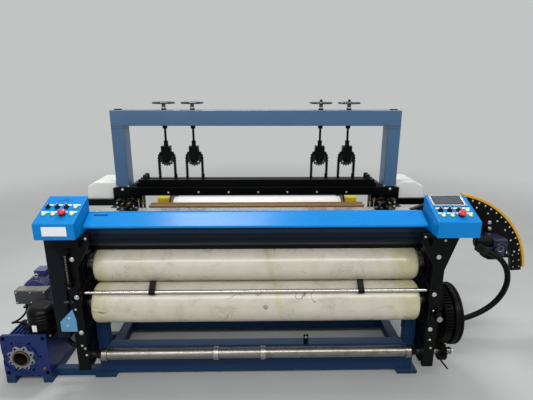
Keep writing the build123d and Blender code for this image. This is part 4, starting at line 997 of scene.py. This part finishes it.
class WEAVING_OT_portal(bpy.types.Operator):
    """Adds the portal's base plates and screws, and the bolts of the cross bar"""

    bl_idname = "weaving.portal"
    bl_label = "Portal and cross bar fittings"

    def execute(self, context):
        piece = Piece("portal_fittings")
        for side in (-1, 1):
            x = side * 950
            # welded joint of each post with the beam, ground flush and painted over, drawn as two thin lines
            # darkened as painted shade
            for z in (1388, 1407):
                seam = block((x - 45.6, x + 45.6), (93.4, 214.6), (z - 1.2, z + 1.2), 0.5)
                piece.add(seam, "dark blue enamel")
            # black end clips on top of the beam
            piece.add(block((x - 24, x + 24), (128, 156), (1513, 1520), 2), PLASTIC)
            piece.add(block((x - 49, x + 49), (90, 219), (975, 984), 1.5), BLACK)
            screw(piece, 8, *[at(x + dx, y, 984) for dx in (-38, 38) for y in (95, 213)])
            screw(piece, 10, at(side * 943, 64, 968, "front"), kind="dome")
            piece.add(block((side * 943 - 16, side * 943 + 16), (61, 64), (955, 979.5), 1), BLACK)
            # lifting eye plates on the ends of the beam
            piece.add(block((side * 991, side * 995), (110, 198), (1424, 1497), 2), BLUE)
        row = [at(x, 64, 947, "front") for x in (-626, -413, -201, 7, 214, 424, 634)]
        screw(piece, 5.5, *row, kind="dome")
        # folded strips along the bar, rubbed bright
        piece.add(block((-985, 985), (62, 66), (975, 981.5), 0.8), DARK_STEEL)
        piece.add(block((-905, 905), (60.5, 64), (929, 933), 0.8), DARK_STEEL)
        piece.done("frame", slot="black_paint")
        return {"FINISHED"}


class WEAVING_OT_lifting(bpy.types.Operator):
    """Makes the handwheels, the screws, the hangers' nuts and the lifting chains"""

    bl_idname = "weaving.lifting"
    bl_label = "Handwheels and chains"

    def handwheel(self, number, x):
        """A chromed handwheel with finger waves, three spokes, and its screw and collars."""
        piece = Piece(f"handwheel_{number}_chromed")
        column = at(x, CHAIN_Y, 0)
        place = at(x, CHAIN_Y, HANDWHEEL_Z)
        radius, fingers = 73, 12
        rim = hoop(radius, 6.2, 108, 12)
        waves = sizes().wheel_waves * 1000 / radius
        for vert in rim.verts:
            angle = math.atan2(vert.co.y, vert.co.x)
            vert.co.xy *= 1 + waves * (math.cos(fingers * angle) - 1) / 2
        piece.add(rim, CHROME, place)
        for n in range(3):
            spoke = block((10, 70), (-5, 5), (-3.5, 3.5), 1.6)
            for vert in spoke.verts:
                reach = (vert.co.x - 10) / 60
                vert.co.z -= 5 * math.sin(reach * math.pi)
                vert.co.y *= 1.25 - 0.4 * reach
            piece.add(spoke, CHROME, place @ turn_z(120 * n + 90))
        hub = [(0, -46.5), (13, -46.5), (13, -12), (16, -9), (17.5, -4), (17.5, 4), (15, 8), (9, 9), (0, 9)]
        piece.add(turned(hub, 40), CHROME, place)
        # silver collar over a black foot on the beam
        piece.add(washer(8.6, 17, 1513.4, 1523, 36), PLASTIC, column)
        collar = [(8.6, 1523), (14, 1523), (14.5, 1524), (14.5, 1530), (13.5, 1531.4), (8.6, 1531.4)]
        piece.add(turned(collar, 36, True), ZINC, column)
        # thread, drawn coarser than it is so that it shows
        thread = [(0, 1254)]
        for n in range(31):
            thread += [(7.3, 1254 + n * 4.5), (8.5, 1256.2 + n * 4.5)]
        thread += [(8.5, 1395), (8.5, 1514), (0, 1514)]
        piece.add(turned(thread, 24), DARK_STEEL, column)
        piece.add(washer(8.6, 16.5, 1386, 1407.6, 32), DARK_STEEL, column)
        if x > 0:
            knob = [(0, 1569), (8, 1569), (9, 1571), (9, 1579), (7.5, 1583), (4, 1584), (0, 1584)]
            piece.add(turned(knob, 28), PLASTIC, column)
        piece.done(f"handwheel_{number}", f"handwheel_{number}")

    def hanger(self, number, x):
        """The lock nut, the pin's rings and the screws on a hanger."""
        piece = Piece(f"hanger_{number}_fittings")
        piece.add(disc(17, 11, 1, 6), DARK_STEEL, at(x, CHAIN_Y, 1290, "up", 10))
        for side, facing in ((-1, "front"), (1, "back")):
            ring_y = CHAIN_Y + side * 25.5
            piece.add(washer(8.2, 12.5, 0, 2, 28), DARK_STEEL, at(x, ring_y, SPROCKET_Z, facing))
            pin = at(x, CHAIN_Y + side * 29, SPROCKET_Z, facing)
            piece.add(disc(3, 2.5, 0.4, 12), "worn sprocket steel", pin)
        sunk(piece, 5, *[at(x + dx, CHAIN_Y - 25, 1248, "front") for dx in (-22, 22)])
        piece.done(f"hanger_{number}", slot="black_paint")

    def link(self, run):
        """A side plate of a link that runs from one pin to the next."""
        half = [(-9, 0), (-7, -7), (0, -10.4), (run / 2, -4.4), (run, -10.4), (run + 7, -7)]
        return plate(half + [(run - x, -y) for x, y in half], LINK_PLATE)

    def chain(self, piece, x, pins, first):
        """A roller chain along its pins about a sprocket: outer and inner links in turn."""
        for n, (start, end) in enumerate(zip(pins, pins[1:])):
            run = math.hypot(end[0] - start[0], end[1] - start[1])
            # outer plates stand wider than inner ones
            depth = 7.6 if (n + first) % 2 else 10.3
            spot = at(x + start[0], CHAIN_Y, SPROCKET_Z + start[1], "front", bearing(start, end))
            piece.add(self.link(run), CHAIN, *[spot @ moved(0, 0, z) for z in (depth - LINK_PLATE, -depth)])
        for across, up in pins:
            middle = at(x + across, CHAIN_Y, SPROCKET_Z + up, "front")
            piece.add(disc(2.6, 20.6, 0, 10), TURNED, middle @ moved(0, 0, -10.3))
            piece.add(disc(5.2, 11, 0, 12), CHAIN, middle @ moved(0, 0, -5.5))

    def execute(self, context):
        strands = {-1: Piece("chain_strands_front"), 1: Piece("chain_strands_rear")}
        for number, x in enumerate(LIFT_X, 1):
            self.handwheel(number, x)
            self.hanger(number, x)
            turns = [math.radians(180 - 20 * n) for n in range(10)]
            over = Piece(f"chain_over_sprocket_{number}")
            self.chain(over, x, [(PITCH_RADIUS * math.cos(t), PITCH_RADIUS * math.sin(t)) for t in turns], 0)
            over.done(f"hanger_{number}", slot="black_steel")
            for side, piece in strands.items():
                self.chain(piece, x, [(side * PITCH_RADIUS, -n * PITCH) for n in range(11)], 1)
                end = x + side * PITCH_RADIUS
                eye = block((end - 12, end + 12), (CHAIN_Y - 12, CHAIN_Y + 12), (980, 996), 1)
                piece.add(eye, DARK_STEEL)
        for side, body in ((-1, "heald_front"), (1, "heald_rear")):
            made = strands[side].done(None, slot="black_steel")
            if side < 0:
                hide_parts("lift_chains")
            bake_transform(made)
        return {"FINISHED"}


class WEAVING_OT_desks(bpy.types.Operator):
    """Builds the two control desks with their buttons, selectors, stops and screen"""

    bl_idname = "weaving.desks"
    bl_label = "Control desks"

    def desk(self, side, reach, rows, columns):
        """The folded sheet with its label strips, fixed buttons and screws."""
        desk = Piece(f"{side}_control_desk")
        outline = [(-849.2, 940), (-849.2, 1023.4), (-640, 1110), (-640, 970), (-701, 970), (-701, 940)]
        # drawn across Y and Z, so its thickness runs along X
        desk.add(plate(outline, reach[1] - reach[0], 2.6, 3), COVER, at(reach[0], 0, 0, "right"))
        strips = [on_desk(x, row + 20) for row in rows for x in columns]
        desk.add(block((-20, 20), (-4.5, 4.5), (0, 0.8), 0.3), LABEL, *strips)
        buttons = [on_desk(columns[3], rows[0])] + [on_desk(columns[n], rows[1]) for n in (0, 1, 3)]
        bezel = [(9, 0), (14.5, 0), (14.5, 2), (13.5, 4.4), (11, 5), (9, 4.4)]
        desk.add(turned(bezel, 36, True), "green button lens", *buttons)
        cap = [(0, 0), (9, 0), (9, 5), (8, 6.2), (5, 6.8), (0, 7)]
        desk.add(turned(cap, 32), "pale button lens", *buttons)
        ring = [(8.1, 0), (16, 0), (16, 3), (14, 5), (8.1, 5)]
        desk.add(turned(ring, 40, True), PLASTIC, on_desk(columns[2], rows[1]))
        corners = [on_desk(x, along) for along in (10, 216) for x in (reach[0] + 12, reach[1] - 12)]
        screw(desk, 3.2, *corners, kind="dome", on_washer=False, metal=COVER)
        if side == "left":
            # rows of small vent slots, and a bare plate on the front
            for row, count in ((184, 7), (192, 5), (200, 3)):
                slots = [on_desk(sum(reach) / 2 + (n - (count - 1) / 2) * 11, row) for n in range(count)]
                desk.add(block((-4, 4), (-1.4, 1.4), (0, 0.5), 0.2), PLASTIC, *slots)
            desk.add(block((-1047, -927), (-850, -848.5), (961, 1009), 0.6), LABEL)
        desk.done("frame", f"{side}_control_box")

    def execute(self, context):
        for side, (reach, rows) in DESKS.items():
            columns = [sum(reach) / 2 + (n - 1.5) * 46 for n in range(4)]
            self.desk(side, reach, rows, columns)
            for n in range(3):
                knob = Piece(f"{side}_selector_{n + 1}_knob")
                place = on_desk(columns[n], rows[0])
                base = [(0, -17), (5, -17), (5, 0.3), (13, 0.3), (13, 5), (11.5, 8.2), (0, 8.6)]
                knob.add(turned(base, 36), PLASTIC, place)
                knob.add(block((-4.2, 4.2), (-12.4, 12.4), (7, 19), 1.6, 3), PLASTIC, place)
                knob.add(block((-0.9, 0.9), (3, 12.6), (17, 19.3), 0.2), LABEL, place)
                knob.done(f"{side}_selector_{n + 1}", f"{side}_selector_{n + 1}")
            stop = Piece(f"{side}_stop_mushroom")
            cap = [(0, -18), (8, -18), (8, 11), (15, 11), (18.5, 12.5), (20, 15.5), (19.6, 19.5), (17, 23.6)]
            cap += [(12, 26.4), (6, 27.7), (0, 28)]
            stop.add(turned(cap, 48), "red moulded plastic", on_desk(columns[2], rows[1]))
            stop.done(f"{side}_stop_button", f"{side}_stop_button")
        screen = Piece("touch_screen_dressed")
        place = on_desk(1000.5, 172)
        # a milled frame: its top face is inset and sunk to make the step round the glass
        bezel = block((-88, 88), (-46, 46), (0, 8), 1.2)
        top = max(bezel.faces, key=lambda face: face.calc_area() * (face.normal.z > 0.9))
        bmesh.ops.inset_individual(bezel, faces=[top], thickness=9, depth=0)
        step = bmesh.ops.extrude_discrete_faces(bezel, faces=[top])["faces"]
        bmesh.ops.translate(bezel, vec=(0, 0, -3), verts=step[0].verts)
        screen.add(bezel, "anodised aluminium bezel", place)
        screen.add(block((-77, 77), (-35, 35), (4, 6), 0.4), PLASTIC, place)
        screen.add(block((-72, 72), (-31, 31), (5.6, 6.6), 0.3), "dark screen glass", place)
        screen.done("frame", "touch_screen")
        return {"FINISHED"}


class WEAVING_OT_front(bpy.types.Operator):
    """Adds the weft clamps' guides, the rails' screws and the trims about the breast beam"""

    bl_idname = "weaving.front"
    bl_label = "Front rail and weft clamps"

    def execute(self, context):
        piece = Piece("weft_guides")
        for side in (-1, 1):
            x = side * 760
            # thread brake: two dished plates on a pin with its spring
            brake = x + side * 48
            hub = at(brake, -352, 985, "front")
            dish = [(4, 0), (20, 1.5), (26, 6), (27.5, 6), (22, 0), (4, -1.5)]
            piece.add(turned(dish, 40, True), DARK_STEEL, hub)
            dish = [(4, 3), (20, 4.5), (24, 9), (25.5, 9), (21, 3), (4, 1)]
            piece.add(turned(dish, 40, True), CHROME, hub)
            piece.add(disc(4, 40, 0.5, 20), ZINC, hub @ moved(0, 0, -12))
            piece.add(coil(6.5, 1.1, 3.4, 5, 6, 14), BRASS, hub @ moved(0, 0, 10))
            piece.add(disc(8, 5, 1, 18), BRASS, hub @ moved(0, 0, 27))
            piece.add(block((brake - 5, brake + 5), (-345, -335), (945, 992), 1.2), DARK_STEEL)
            # stand with two eyelets
            for dx, z in ((-46, 1000), (-70, 978)):
                spot = x + side * dx
                piece.add(disc(3, z - 945, 0.3, 14), ZINC, at(spot, -352, 945))
                piece.add(hoop(7, 1.9, 28, 8), BRASS, at(spot, -352, z + 7, "front"))
            # clamp screws and a spring on the jaw
            sunk(piece, 6, at(x - side * 4, -376, 958, "front"), metal=ZINC)
            screw(piece, 5, at(x + 28, -350, 957), at(x - 28, -350, 957), kind="socket")
            piece.add(coil(5, 1, 3, 7, 6, 12), ZINC, at(x + side * 20, -338, 957))
            piece.add(disc(9.2, 41, 0.8, 24), BRASS, at(x - 12, -340.5, 983, "front"))
            # black selvedge rods over the race board
            for y, z in ((-322, 990), (-300, 978)):
                piece.add(disc(5, 150, 1, 18), DARK_STEEL, at(x + side * 85, y, z, SIDES[-side]))
            piece.add(block((x + side * 78, x + side * 96), (-340, -290), (945, 999), 2), BLACK)
            screw(piece, 5, *[at(x + side * 87, -340, z, "front") for z in (960, 985)])
        piece.done("frame", slot="black_steel")

        trim = Piece("breast_trims")
        # dark slot of the cover, and the screws along its back
        slope = moved(-815, -686, 1017) @ turn_x(COVER_SLOPE)
        trim.add(block((-37, 37), (-4.5, 4.5), (-1, 1.2), 0.6), PLASTIC, slope)
        screw(trim, 4, *[at(x, -625, 1017.5) for x in (-860, 860)], kind="dome", on_washer=False)
        # lips and the strip along the front of the beam: the upper black lip is a painted shadow under the
        # cover's edge, and the strip's slate blue is painted shade
        trim.add(block((-884, 884), (-708, -700), (950, 969), 1), BLACK)
        trim.add(block((-905, 905), (-709, -700), (922, 945), 1.5), "slate blue enamel")
        trim.add(block((-905, 905), (-704, -700), (884, 890), 1), BLACK)
        # dark apron that hangs from the beam over the upper roller
        trim.add(block((-922, 922), (-640, -634), (804, 882), 1), BLACK)
        # stretcher bars behind the apron, over the upper roller, in the base's blue darkened as painted shade
        trim.add(block((-922, 922), (-655, -625), (842, 868), 2), "oiled base blue enamel")
        trim.add(disc(11, 1844, 1, 24), DARK_STEEL, at(-922, -600, 838, "right"))
        # small plate that hangs below the lower roller
        trim.add(block((272, 300), (-642, -634), (196, 262), 1.5), BLACK)
        screw(trim, 6, at(286, -642, 246, "front"))
        trim.done("frame", slot="steel_blue")
        return {"FINISHED"}


class WEAVING_OT_castings(bpy.types.Operator):
    """Fits the bolts, caps, spring and knob of the side castings"""

    bl_idname = "weaving.castings"
    bl_label = "Casting fittings"

    def execute(self, context):
        piece = Piece("casting_bolts")
        large = [at(side * 945, -794, z, "front", 12) for side in SIDES for z in (390, 600, 815)]
        screw(piece, sizes().bolt_head * 1000, *large)
        small = [(-961, 526), (-972, 447), (-952, 306), (-938, 288), (-934, 247), (-866, 925)]
        small += [(952, 321), (962, 269), (952, 500), (866, 925), (972, 905)]
        screw(piece, 4.6, *[at(x, -790, z, "front", 20) for x, z in small], kind="dome")
        # grey stud ends on the right
        piece.add(disc(14, 9, 1.2, 6), TURNED, at(1010, -700, 657, "right"))
        piece.add(disc(15.5, 4, 1, 28), TURNED, at(970, -835, 475, "front"))
        # the clutch's hand lever, below the right casting
        lever = Vector((30, -45, -35))
        piece.add(disc(5, lever.length, 1.5, 20), BLACK, aimed((1045, -745, 165), lever))
        # pale blue lug plate on the left casting
        lug = [(-1050, 455), (-978, 529), (-964, 467), (-964, 396), (-1049, 397)]
        piece.add(plate(lug, 4, 1), "pale blue enamel", at(0, -790.2, 0, "front"))
        screw(piece, 5, at(-1012, -794, 432, "front"), at(-1000, -794, 476, "front"), kind="dome")
        # silver plunger pin on the left
        piece.add(disc(6, 50, 1.5, 24), CHROME, at(-1010, -800, 577, "right"))
        piece.add(block((-985, -968), (-806, -790), (566, 588), 1.5), CAST_BLACK)
        # caps over the roller journals, apart from the one that the gears leave no room for
        cap = [(0, 0), (58, 0), (58, 7), (54, 9), (40, 9), (36, 6), (0, 6)]
        for side, journal in ((-1, UPPER), (-1, LOWER), (1, UPPER)):
            place = at(side * 985.6, *journal, SIDES[side])
            piece.add(turned(cap, 48), CAST_BLACK, place)
            sunk(piece, 5, *around(place @ moved(0, 0, 7), 47, range(45, 360, 90)))
        # clamp screws of the guide rod's ends
        sunk(piece, 6, *[at(side * 930, -790, 640, "front") for side in SIDES])
        piece.done("frame", slot="bright_steel")

        spring = Piece("pressure_spring_coiled")
        spring.add(coil(12.6, 2.3, 14.0, 11, 8, 22), DARK_STEEL, at(-970, -810, 692))
        spring.add(disc(5, 159, 0, 20), TURNED, at(-970, -810, 692))
        spring.done("frame", "pressure_spring")

        knob = Piece("star_knob_moulded")
        star = bmesh.new()
        bmesh.ops.create_circle(star, cap_ends=True, segments=60, radius=1)
        lobed(star, 13.2, 3.6, 5)
        knob.add(round_edges(raised(star, 18), 2.2, 3, 60), PLASTIC, at(-970, -796, 664, "front", 90))
        knob.add(disc(6, 3, 0.8, 6), ZINC, at(-970, -814, 664, "front"))
        knob.done("star_knob", "star_knob")
        return {"FINISHED"}


class WEAVING_OT_left_drives(bpy.types.Operator):
    """Builds the worm gearbox's face, the servo motor and the finned main motor"""

    bl_idname = "weaving.left_drives"
    bl_label = "Left drives"

    def gearbox(self):
        """The lobed ring with its bronze bush, the housing's screws, ribs and plugs."""
        x, z = GEARBOX
        face = Piece("gearbox_face")
        star = bmesh.new()
        bmesh.ops.create_circle(star, cap_ends=False, segments=96, radius=1)
        lobed(star, 70.5, 8.5, 8, 22.5)
        bmesh.ops.create_circle(star, cap_ends=False, segments=96, radius=49)
        bmesh.ops.bridge_loops(star, edges=star.edges[:])
        face.add(round_edges(raised(star, 11.5), 1.5, 2, 55), "grey sprayed flange", at(x, -700, z, "front"))
        lobes = [45 * n + 22.5 for n in range(8)]
        sunk(face, 5.5, *around(at(x, -711.5, z, "front"), 66, lobes))
        face.done("frame", "gearbox_ring")

        bush = Piece("gearbox_shaft_bored")
        tube = [(40, -8), (47, -8), (47, 240), (47, 247.5), (45.5, 248.5), (41, 248.5), (40, 247.5)]
        bush.add(turned(tube, 56, True), "cast bronze bush", at(x, -470, z, "front"))
        bush.add(block((x - 5, x + 5), (-709, -480), (211, 217), 0.8), TURNED)
        bush.done("gearbox_shaft", "gearbox_shaft")

        box = Piece("gearbox_screws")
        corners = [at(x, -700, z, "front") for x in (-1436, -1214) for z in (69, 293)]
        screw(box, 8, *corners, metal=DARK_STEEL)
        sunk(box, 5, *around(at(x, -694, z, "front"), 99, range(0, 360, 60)))
        # cooling ribs on the top and the side
        for low in range(-1440, -1320, 24):
            box.add(block((low, low + 8), (-683, -480), (270, 281), 1.5), NAVY)
        for low in range(80, 260, 30):
            box.add(block((-1462, -1455), (-680, -490), (low, low + 9), 1.5), NAVY)
        box.add(disc(11, 9, 1.5, 6), BRASS, at(-1318, -640, 270))
        box.add(disc(9, 6, 1, 6), BRASS, at(-1225, -700, 100, "front"))
        box.done("frame", slot="navy")

    def servo(self):
        """The servo motor on its flange, with its plugs."""
        servo = Piece("servo_motor_dressed")
        servo.add(block((-1325, -1175), (-675, -525), (270, 284), 4, 3), DARK_STEEL)
        body = [(0, 284), (66, 284), (70, 288), (70, 309), (76, 315), (78, 320), (78, 368)]
        groove = [(74, 0), (73, 2), (73, 5), (76, 7), (78, 9), (78, 14)]
        for base in (374, 392, 410):
            body += [(radius, base + rise) for radius, rise in groove]
        body += [(76, 428), (70, 438), (60, 448), (52, 453), (48, 454), (0, 454)]
        servo.add(turned(body, 72), BLACK, at(-1250, -600, 0))
        sunk(servo, 7, *[at(x, y, 284) for y in (-660, -540) for x in (-1310, -1190)], metal=ZINC)
        # power and signal plugs towards the left
        for y, z, radius, end in ((-600, 337, 16, -1372), (-604, 301, 12, -1364)):
            tip, waist = radius * 0.8, radius * 0.86
            plug = [(0, 0), (tip, 0), (tip, 6), (radius, 8), (radius, 30), (waist, 32), (waist, 40)]
            plug += [(radius, 42), (radius, 64), (0, 64)]
            servo.add(turned(plug, 32), PLASTIC, at(end, y, z, "right"))
            servo.add(hoop(radius * 0.98, 1.6, 32, 8), ZINC, at(end + 36, y, z, "right"))
        # bare plate on the front of the motor
        servo.add(block((-1275, -1249), (-678.6, -676.5), (322, 362), 0.5), LABEL)
        servo.done("frame", "servo_motor")

    def execute(self, context):
        self.gearbox()
        self.servo()
        motor = Piece("main_motor_dressed")
        paint = "violet blue motor enamel"
        x, z = -1383, 424
        middle = at(x, -400, z, "back")
        motor.add(turned([(0, 0), (79, 0), (79, 220), (0, 220)], 72), paint, middle)
        # the feet take the place of the lowest fins
        fins = [middle @ turn_z(9 * n) for n in range(40) if not 235 < 9 * n < 305]
        motor.add(block((76, 88), (-1.5, 1.5), (4, 214), 0.7, 1), paint, *fins)
        cowl = [(0, 0), (86, 0), (86, 44), (82, 49), (74, 50), (0, 50)]
        motor.add(turned(cowl, 64), paint, at(x, -180, z, "back"))
        for radius in (20, 32, 44, 56, 68):
            motor.add(hoop(radius, 1.2, 48, 6), PLASTIC, at(x, -129.8, z, "back"))
        motor.add(block((-1453, -1313), (-380, -200), (330, 350), 3), paint)
        screw(motor, 7, *[at(spot, y, 350) for spot in (-1440, -1326) for y in (-360, -220)])
        # terminal box on top and the lifting eye
        motor.add(block((-1420, -1346), (-330, -250), (508, 538), 3), paint)
        motor.add(hoop(11, 3, 28, 10), ZINC, at(x, -372, 524, "front"))
        motor.add(disc(7, 8, 1, 20), ZINC, at(x, -372, 508))
        slate = "slate enamel on brake box"
        motor.add(block((-1480, -1285), (-466, -400), (377, 471), 7, 3), slate)
        motor.add(block((-1474, -1291), (-468, -465), (383, 465), 2), slate)
        rim = [at(spot, -466.5, z, "front") for spot in (-1466, -1382, -1299) for z in (391, 457)]
        screw(motor, 5, *rim, kind="dome")
        motor.done("frame", "main_motor")
        return {"FINISHED"}


class WEAVING_OT_tape_guide(bpy.types.Operator):
    """Bends the yellow edge of the tape guide and adds its bolt rows and the rapier drive"""

    bl_idname = "weaving.tape_guide"
    bl_label = "Tape guide and rapier drive"

    def execute(self, context):
        x, z = GUIDE
        edge = Piece("tape_guide_edge_bent")
        bar = bmesh.new()
        # section of the bar in radius and depth, bent round the quadrant
        section = [(574.4, 0), (592.3, 0), (592.3, 43), (574.4, 43)]
        bar.faces.new([bar.verts.new((radius, 0, depth)) for radius, depth in section])
        bmesh.ops.bevel(
            bar, geom=bar.verts[:], offset=3, segments=3, profile=0.5, affect="VERTICES", material=-1
        )
        spun(bar, 50, math.radians(75))
        # the spin runs down from behind the desk, and facing back mirrors X
        edge.add(bar, GUARD, at(x, -164, z, "back", 99))
        edge.done("frame", "tape_guide_edge")

        rows = Piece("tape_guide_bolts")
        centre = at(x, -165, z, "front")
        screw(rows, 4.6, *around(centre, 561, [88 - n * 4.9 for n in range(15)]), kind="dome")
        screw(rows, 4.6, *around(centre, 526, [88 - n * 4.9 for n in range(0, 15, 2)]), kind="dome")
        screw(rows, 9, at(1560, -165, 792, "front"), at(1566, -165, 748, "front"))
        # clamp strip along the tail
        for radius in (510, 550):
            sunk(rows, 4.2, *around(centre, radius, (7, 12, 17)), metal=ZINC)
        rows.done("frame", slot="bright_steel")

        drive = Piece("rapier_drive_dressed")
        paint = "deep blue enamel on rapier drive"
        drive.add(block((1505, 1598), (-340, -205), (620, 733), 10, 4), paint)
        drive.add(disc(48, 40, 2, 48), paint, at(1550, -165.5, 675, "front"))
        place = at(1550, -340, 675, "front")
        hub = [(18, 0), (40, 0), (40, 9), (38, 12), (27, 12), (25, 9), (20, 9), (18, 7)]
        drive.add(turned(hub, 56, True), paint, place)
        bore = [(16, -3), (20, -3), (20, 7), (18, 8), (16, 7)]
        drive.add(turned(bore, 40, True), TURNED, place)
        sunk(drive, 3.6, *around(place @ moved(0, 0, 12), 33, range(30, 390, 60)))
        motor = [(0, 0), (38, 0), (38, 88), (36, 93), (28, 95), (0, 95)]
        drive.add(turned(motor, 56), BLACK, at(1505, -290, 705, "left"))
        for n in range(4):
            drive.add(hoop(38, 1.4, 48, 8), BLACK, at(1490 - n * 16, -290, 705, "left"))
        drive.add(block((1410, 1432), (-394, -290), (648, 705), 3), PLASTIC)
        sunk(drive, 5, *[at(x, -340, z, "front") for x in (1518, 1585) for z in (633, 720)])
        drive.done("frame", "rapier_motor")
        return {"FINISHED"}


class WEAVING_OT_warp(bpy.types.Operator):
    """Turns the warp beam with its flanges and fits its stands"""

    bl_idname = "weaving.warp"
    bl_label = "Warp beam"

    def execute(self, context):
        beam = Piece("warp_beam_turned")
        place = at(0, *WARP, "right")
        barrel = [(0, -790), (149, -790)] + [(150, x) for x in range(-788, 789, 197)] + [(149, 790), (0, 790)]
        beam.add(turned(barrel, 96), "warp roll white film", place)
        flange = [(30, 789.5), (228, 789.5), (230, 791), (230, 804), (228, 806), (216, 806), (212, 801)]
        flange += [(70, 801), (60, 806), (46, 822), (30, 822)]
        journal = [(0, 800), (30, 800), (30, 898), (28, 900), (0, 900)]
        for side, facing in SIDES.items():
            beam.add(turned(along_x(flange, side), 96, True), BLACK, place)
            beam.add(turned(along_x(journal, side), 40), TURNED, place)
            bolts = around(at(side * 806, *WARP, facing), 52, range(0, 360, 45))
            screw(beam, 6, *bolts, metal=DARK_STEEL)
        beam.done("warp_beam", "warp_beam")

        fit = Piece("warp_stand_fittings")
        # ribbed guards on the rear ends of the stands' channels
        for side in SIDES:
            low, high = sorted((side * 818, side * 932))
            fit.add(block((low, high), (960, 1108), (620, 662), 4), YELLOW)
            for x in range(low + 8, high - 5, 19):
                fit.add(block((x, x + 7), (957, 1108), (622, 668), 1.5), YELLOW)
            fit.add(block((side * 800, side * 818), (955, 1108), (618, 664), 2), BLACK)
        for side, facing in SIDES.items():
            screw(fit, 9, *[at(side * x, y, 12) for x in (842, 905) for y in (920, 1160)])
            sunk(fit, 3.2, *around(at(side * 890, *WARP, facing), 34.5, range(45, 360, 90)), metal=ZINC)
        fit.done("frame", slot="yellow")
        return {"FINISHED"}


class WEAVING_OT_heald_trims(bpy.types.Operator):
    """Adds the heald frames' rods, end knobs and shackles"""

    bl_idname = "weaving.heald_trims"
    bl_label = "Heald frame trims"

    def execute(self, context):
        for body, y in (("heald_front", 124), ("heald_rear", 182)):
            piece = Piece(body + "_trims")
            rod = turned([(0, -822), (3, -822), (3, 822), (0, 822)], 16)
            piece.add(rod, TURNED, *[at(0, y, z, "right") for z in (662, 918)])
            cap = [(0, 0), (17, 0), (17, 22), (14, 31), (8, 34), (0, 34)]
            piece.add(turned(cap, 28), PLASTIC, at(-795, y, 1030), at(795, y, 1030))
            if body == "heald_rear":
                # shackles on the chain ends of the rear frame
                for x in LIFT_X:
                    end = x + PITCH_RADIUS
                    ear = block((end - 11, end + 11), (CHAIN_Y + 11, CHAIN_Y + 15), (1030, 1062), 1)
                    piece.add(ear, DARK_STEEL)
            piece.done(body, slot="black_steel")
        return {"FINISHED"}


GROUPS = (
    WEAVING_OT_stage,
    WEAVING_OT_cords,
    WEAVING_OT_plain_nodes,
    WEAVING_OT_rollers,
    WEAVING_OT_take_up,
    WEAVING_OT_portal,
    WEAVING_OT_lifting,
    WEAVING_OT_desks,
    WEAVING_OT_front,
    WEAVING_OT_castings,
    WEAVING_OT_left_drives,
    WEAVING_OT_tape_guide,
    WEAVING_OT_warp,
    WEAVING_OT_heald_trims,
)


class WEAVING_PT_panel(bpy.types.Panel):
    """Lists the groups of the machine with its colours and sizes"""

    bl_idname = "WEAVING_PT_panel"
    bl_label = "Wire Mesh Weaving Machine"
    bl_space_type = "VIEW_3D"
    bl_region_type = "UI"
    bl_category = "Weaving"

    def draw(self, context):
        for group in GROUPS:
            self.layout.operator(group.bl_idname)
        for settings in (context.scene.weaving_colours, context.scene.weaving_sizes):
            for name in settings.__annotations__:
                self.layout.prop(settings, name)


CLASSES = (WeavingColours, WeavingSizes) + GROUPS + (WEAVING_PT_panel,)


def register():
    for kind in CLASSES:
        bpy.utils.register_class(kind)
    bpy.types.Scene.weaving_colours = bpy.props.PointerProperty(type=WeavingColours)
    bpy.types.Scene.weaving_sizes = bpy.props.PointerProperty(type=WeavingSizes)


def unregister():
    del bpy.types.Scene.weaving_sizes
    del bpy.types.Scene.weaving_colours
    for kind in reversed(CLASSES):
        bpy.utils.unregister_class(kind)


def main():
    """Builds every group in order."""
    register()
    for group in GROUPS:
        getattr(bpy.ops.weaving, group.bl_idname.split(".")[1])()


if __name__ == "__main__":
    main()
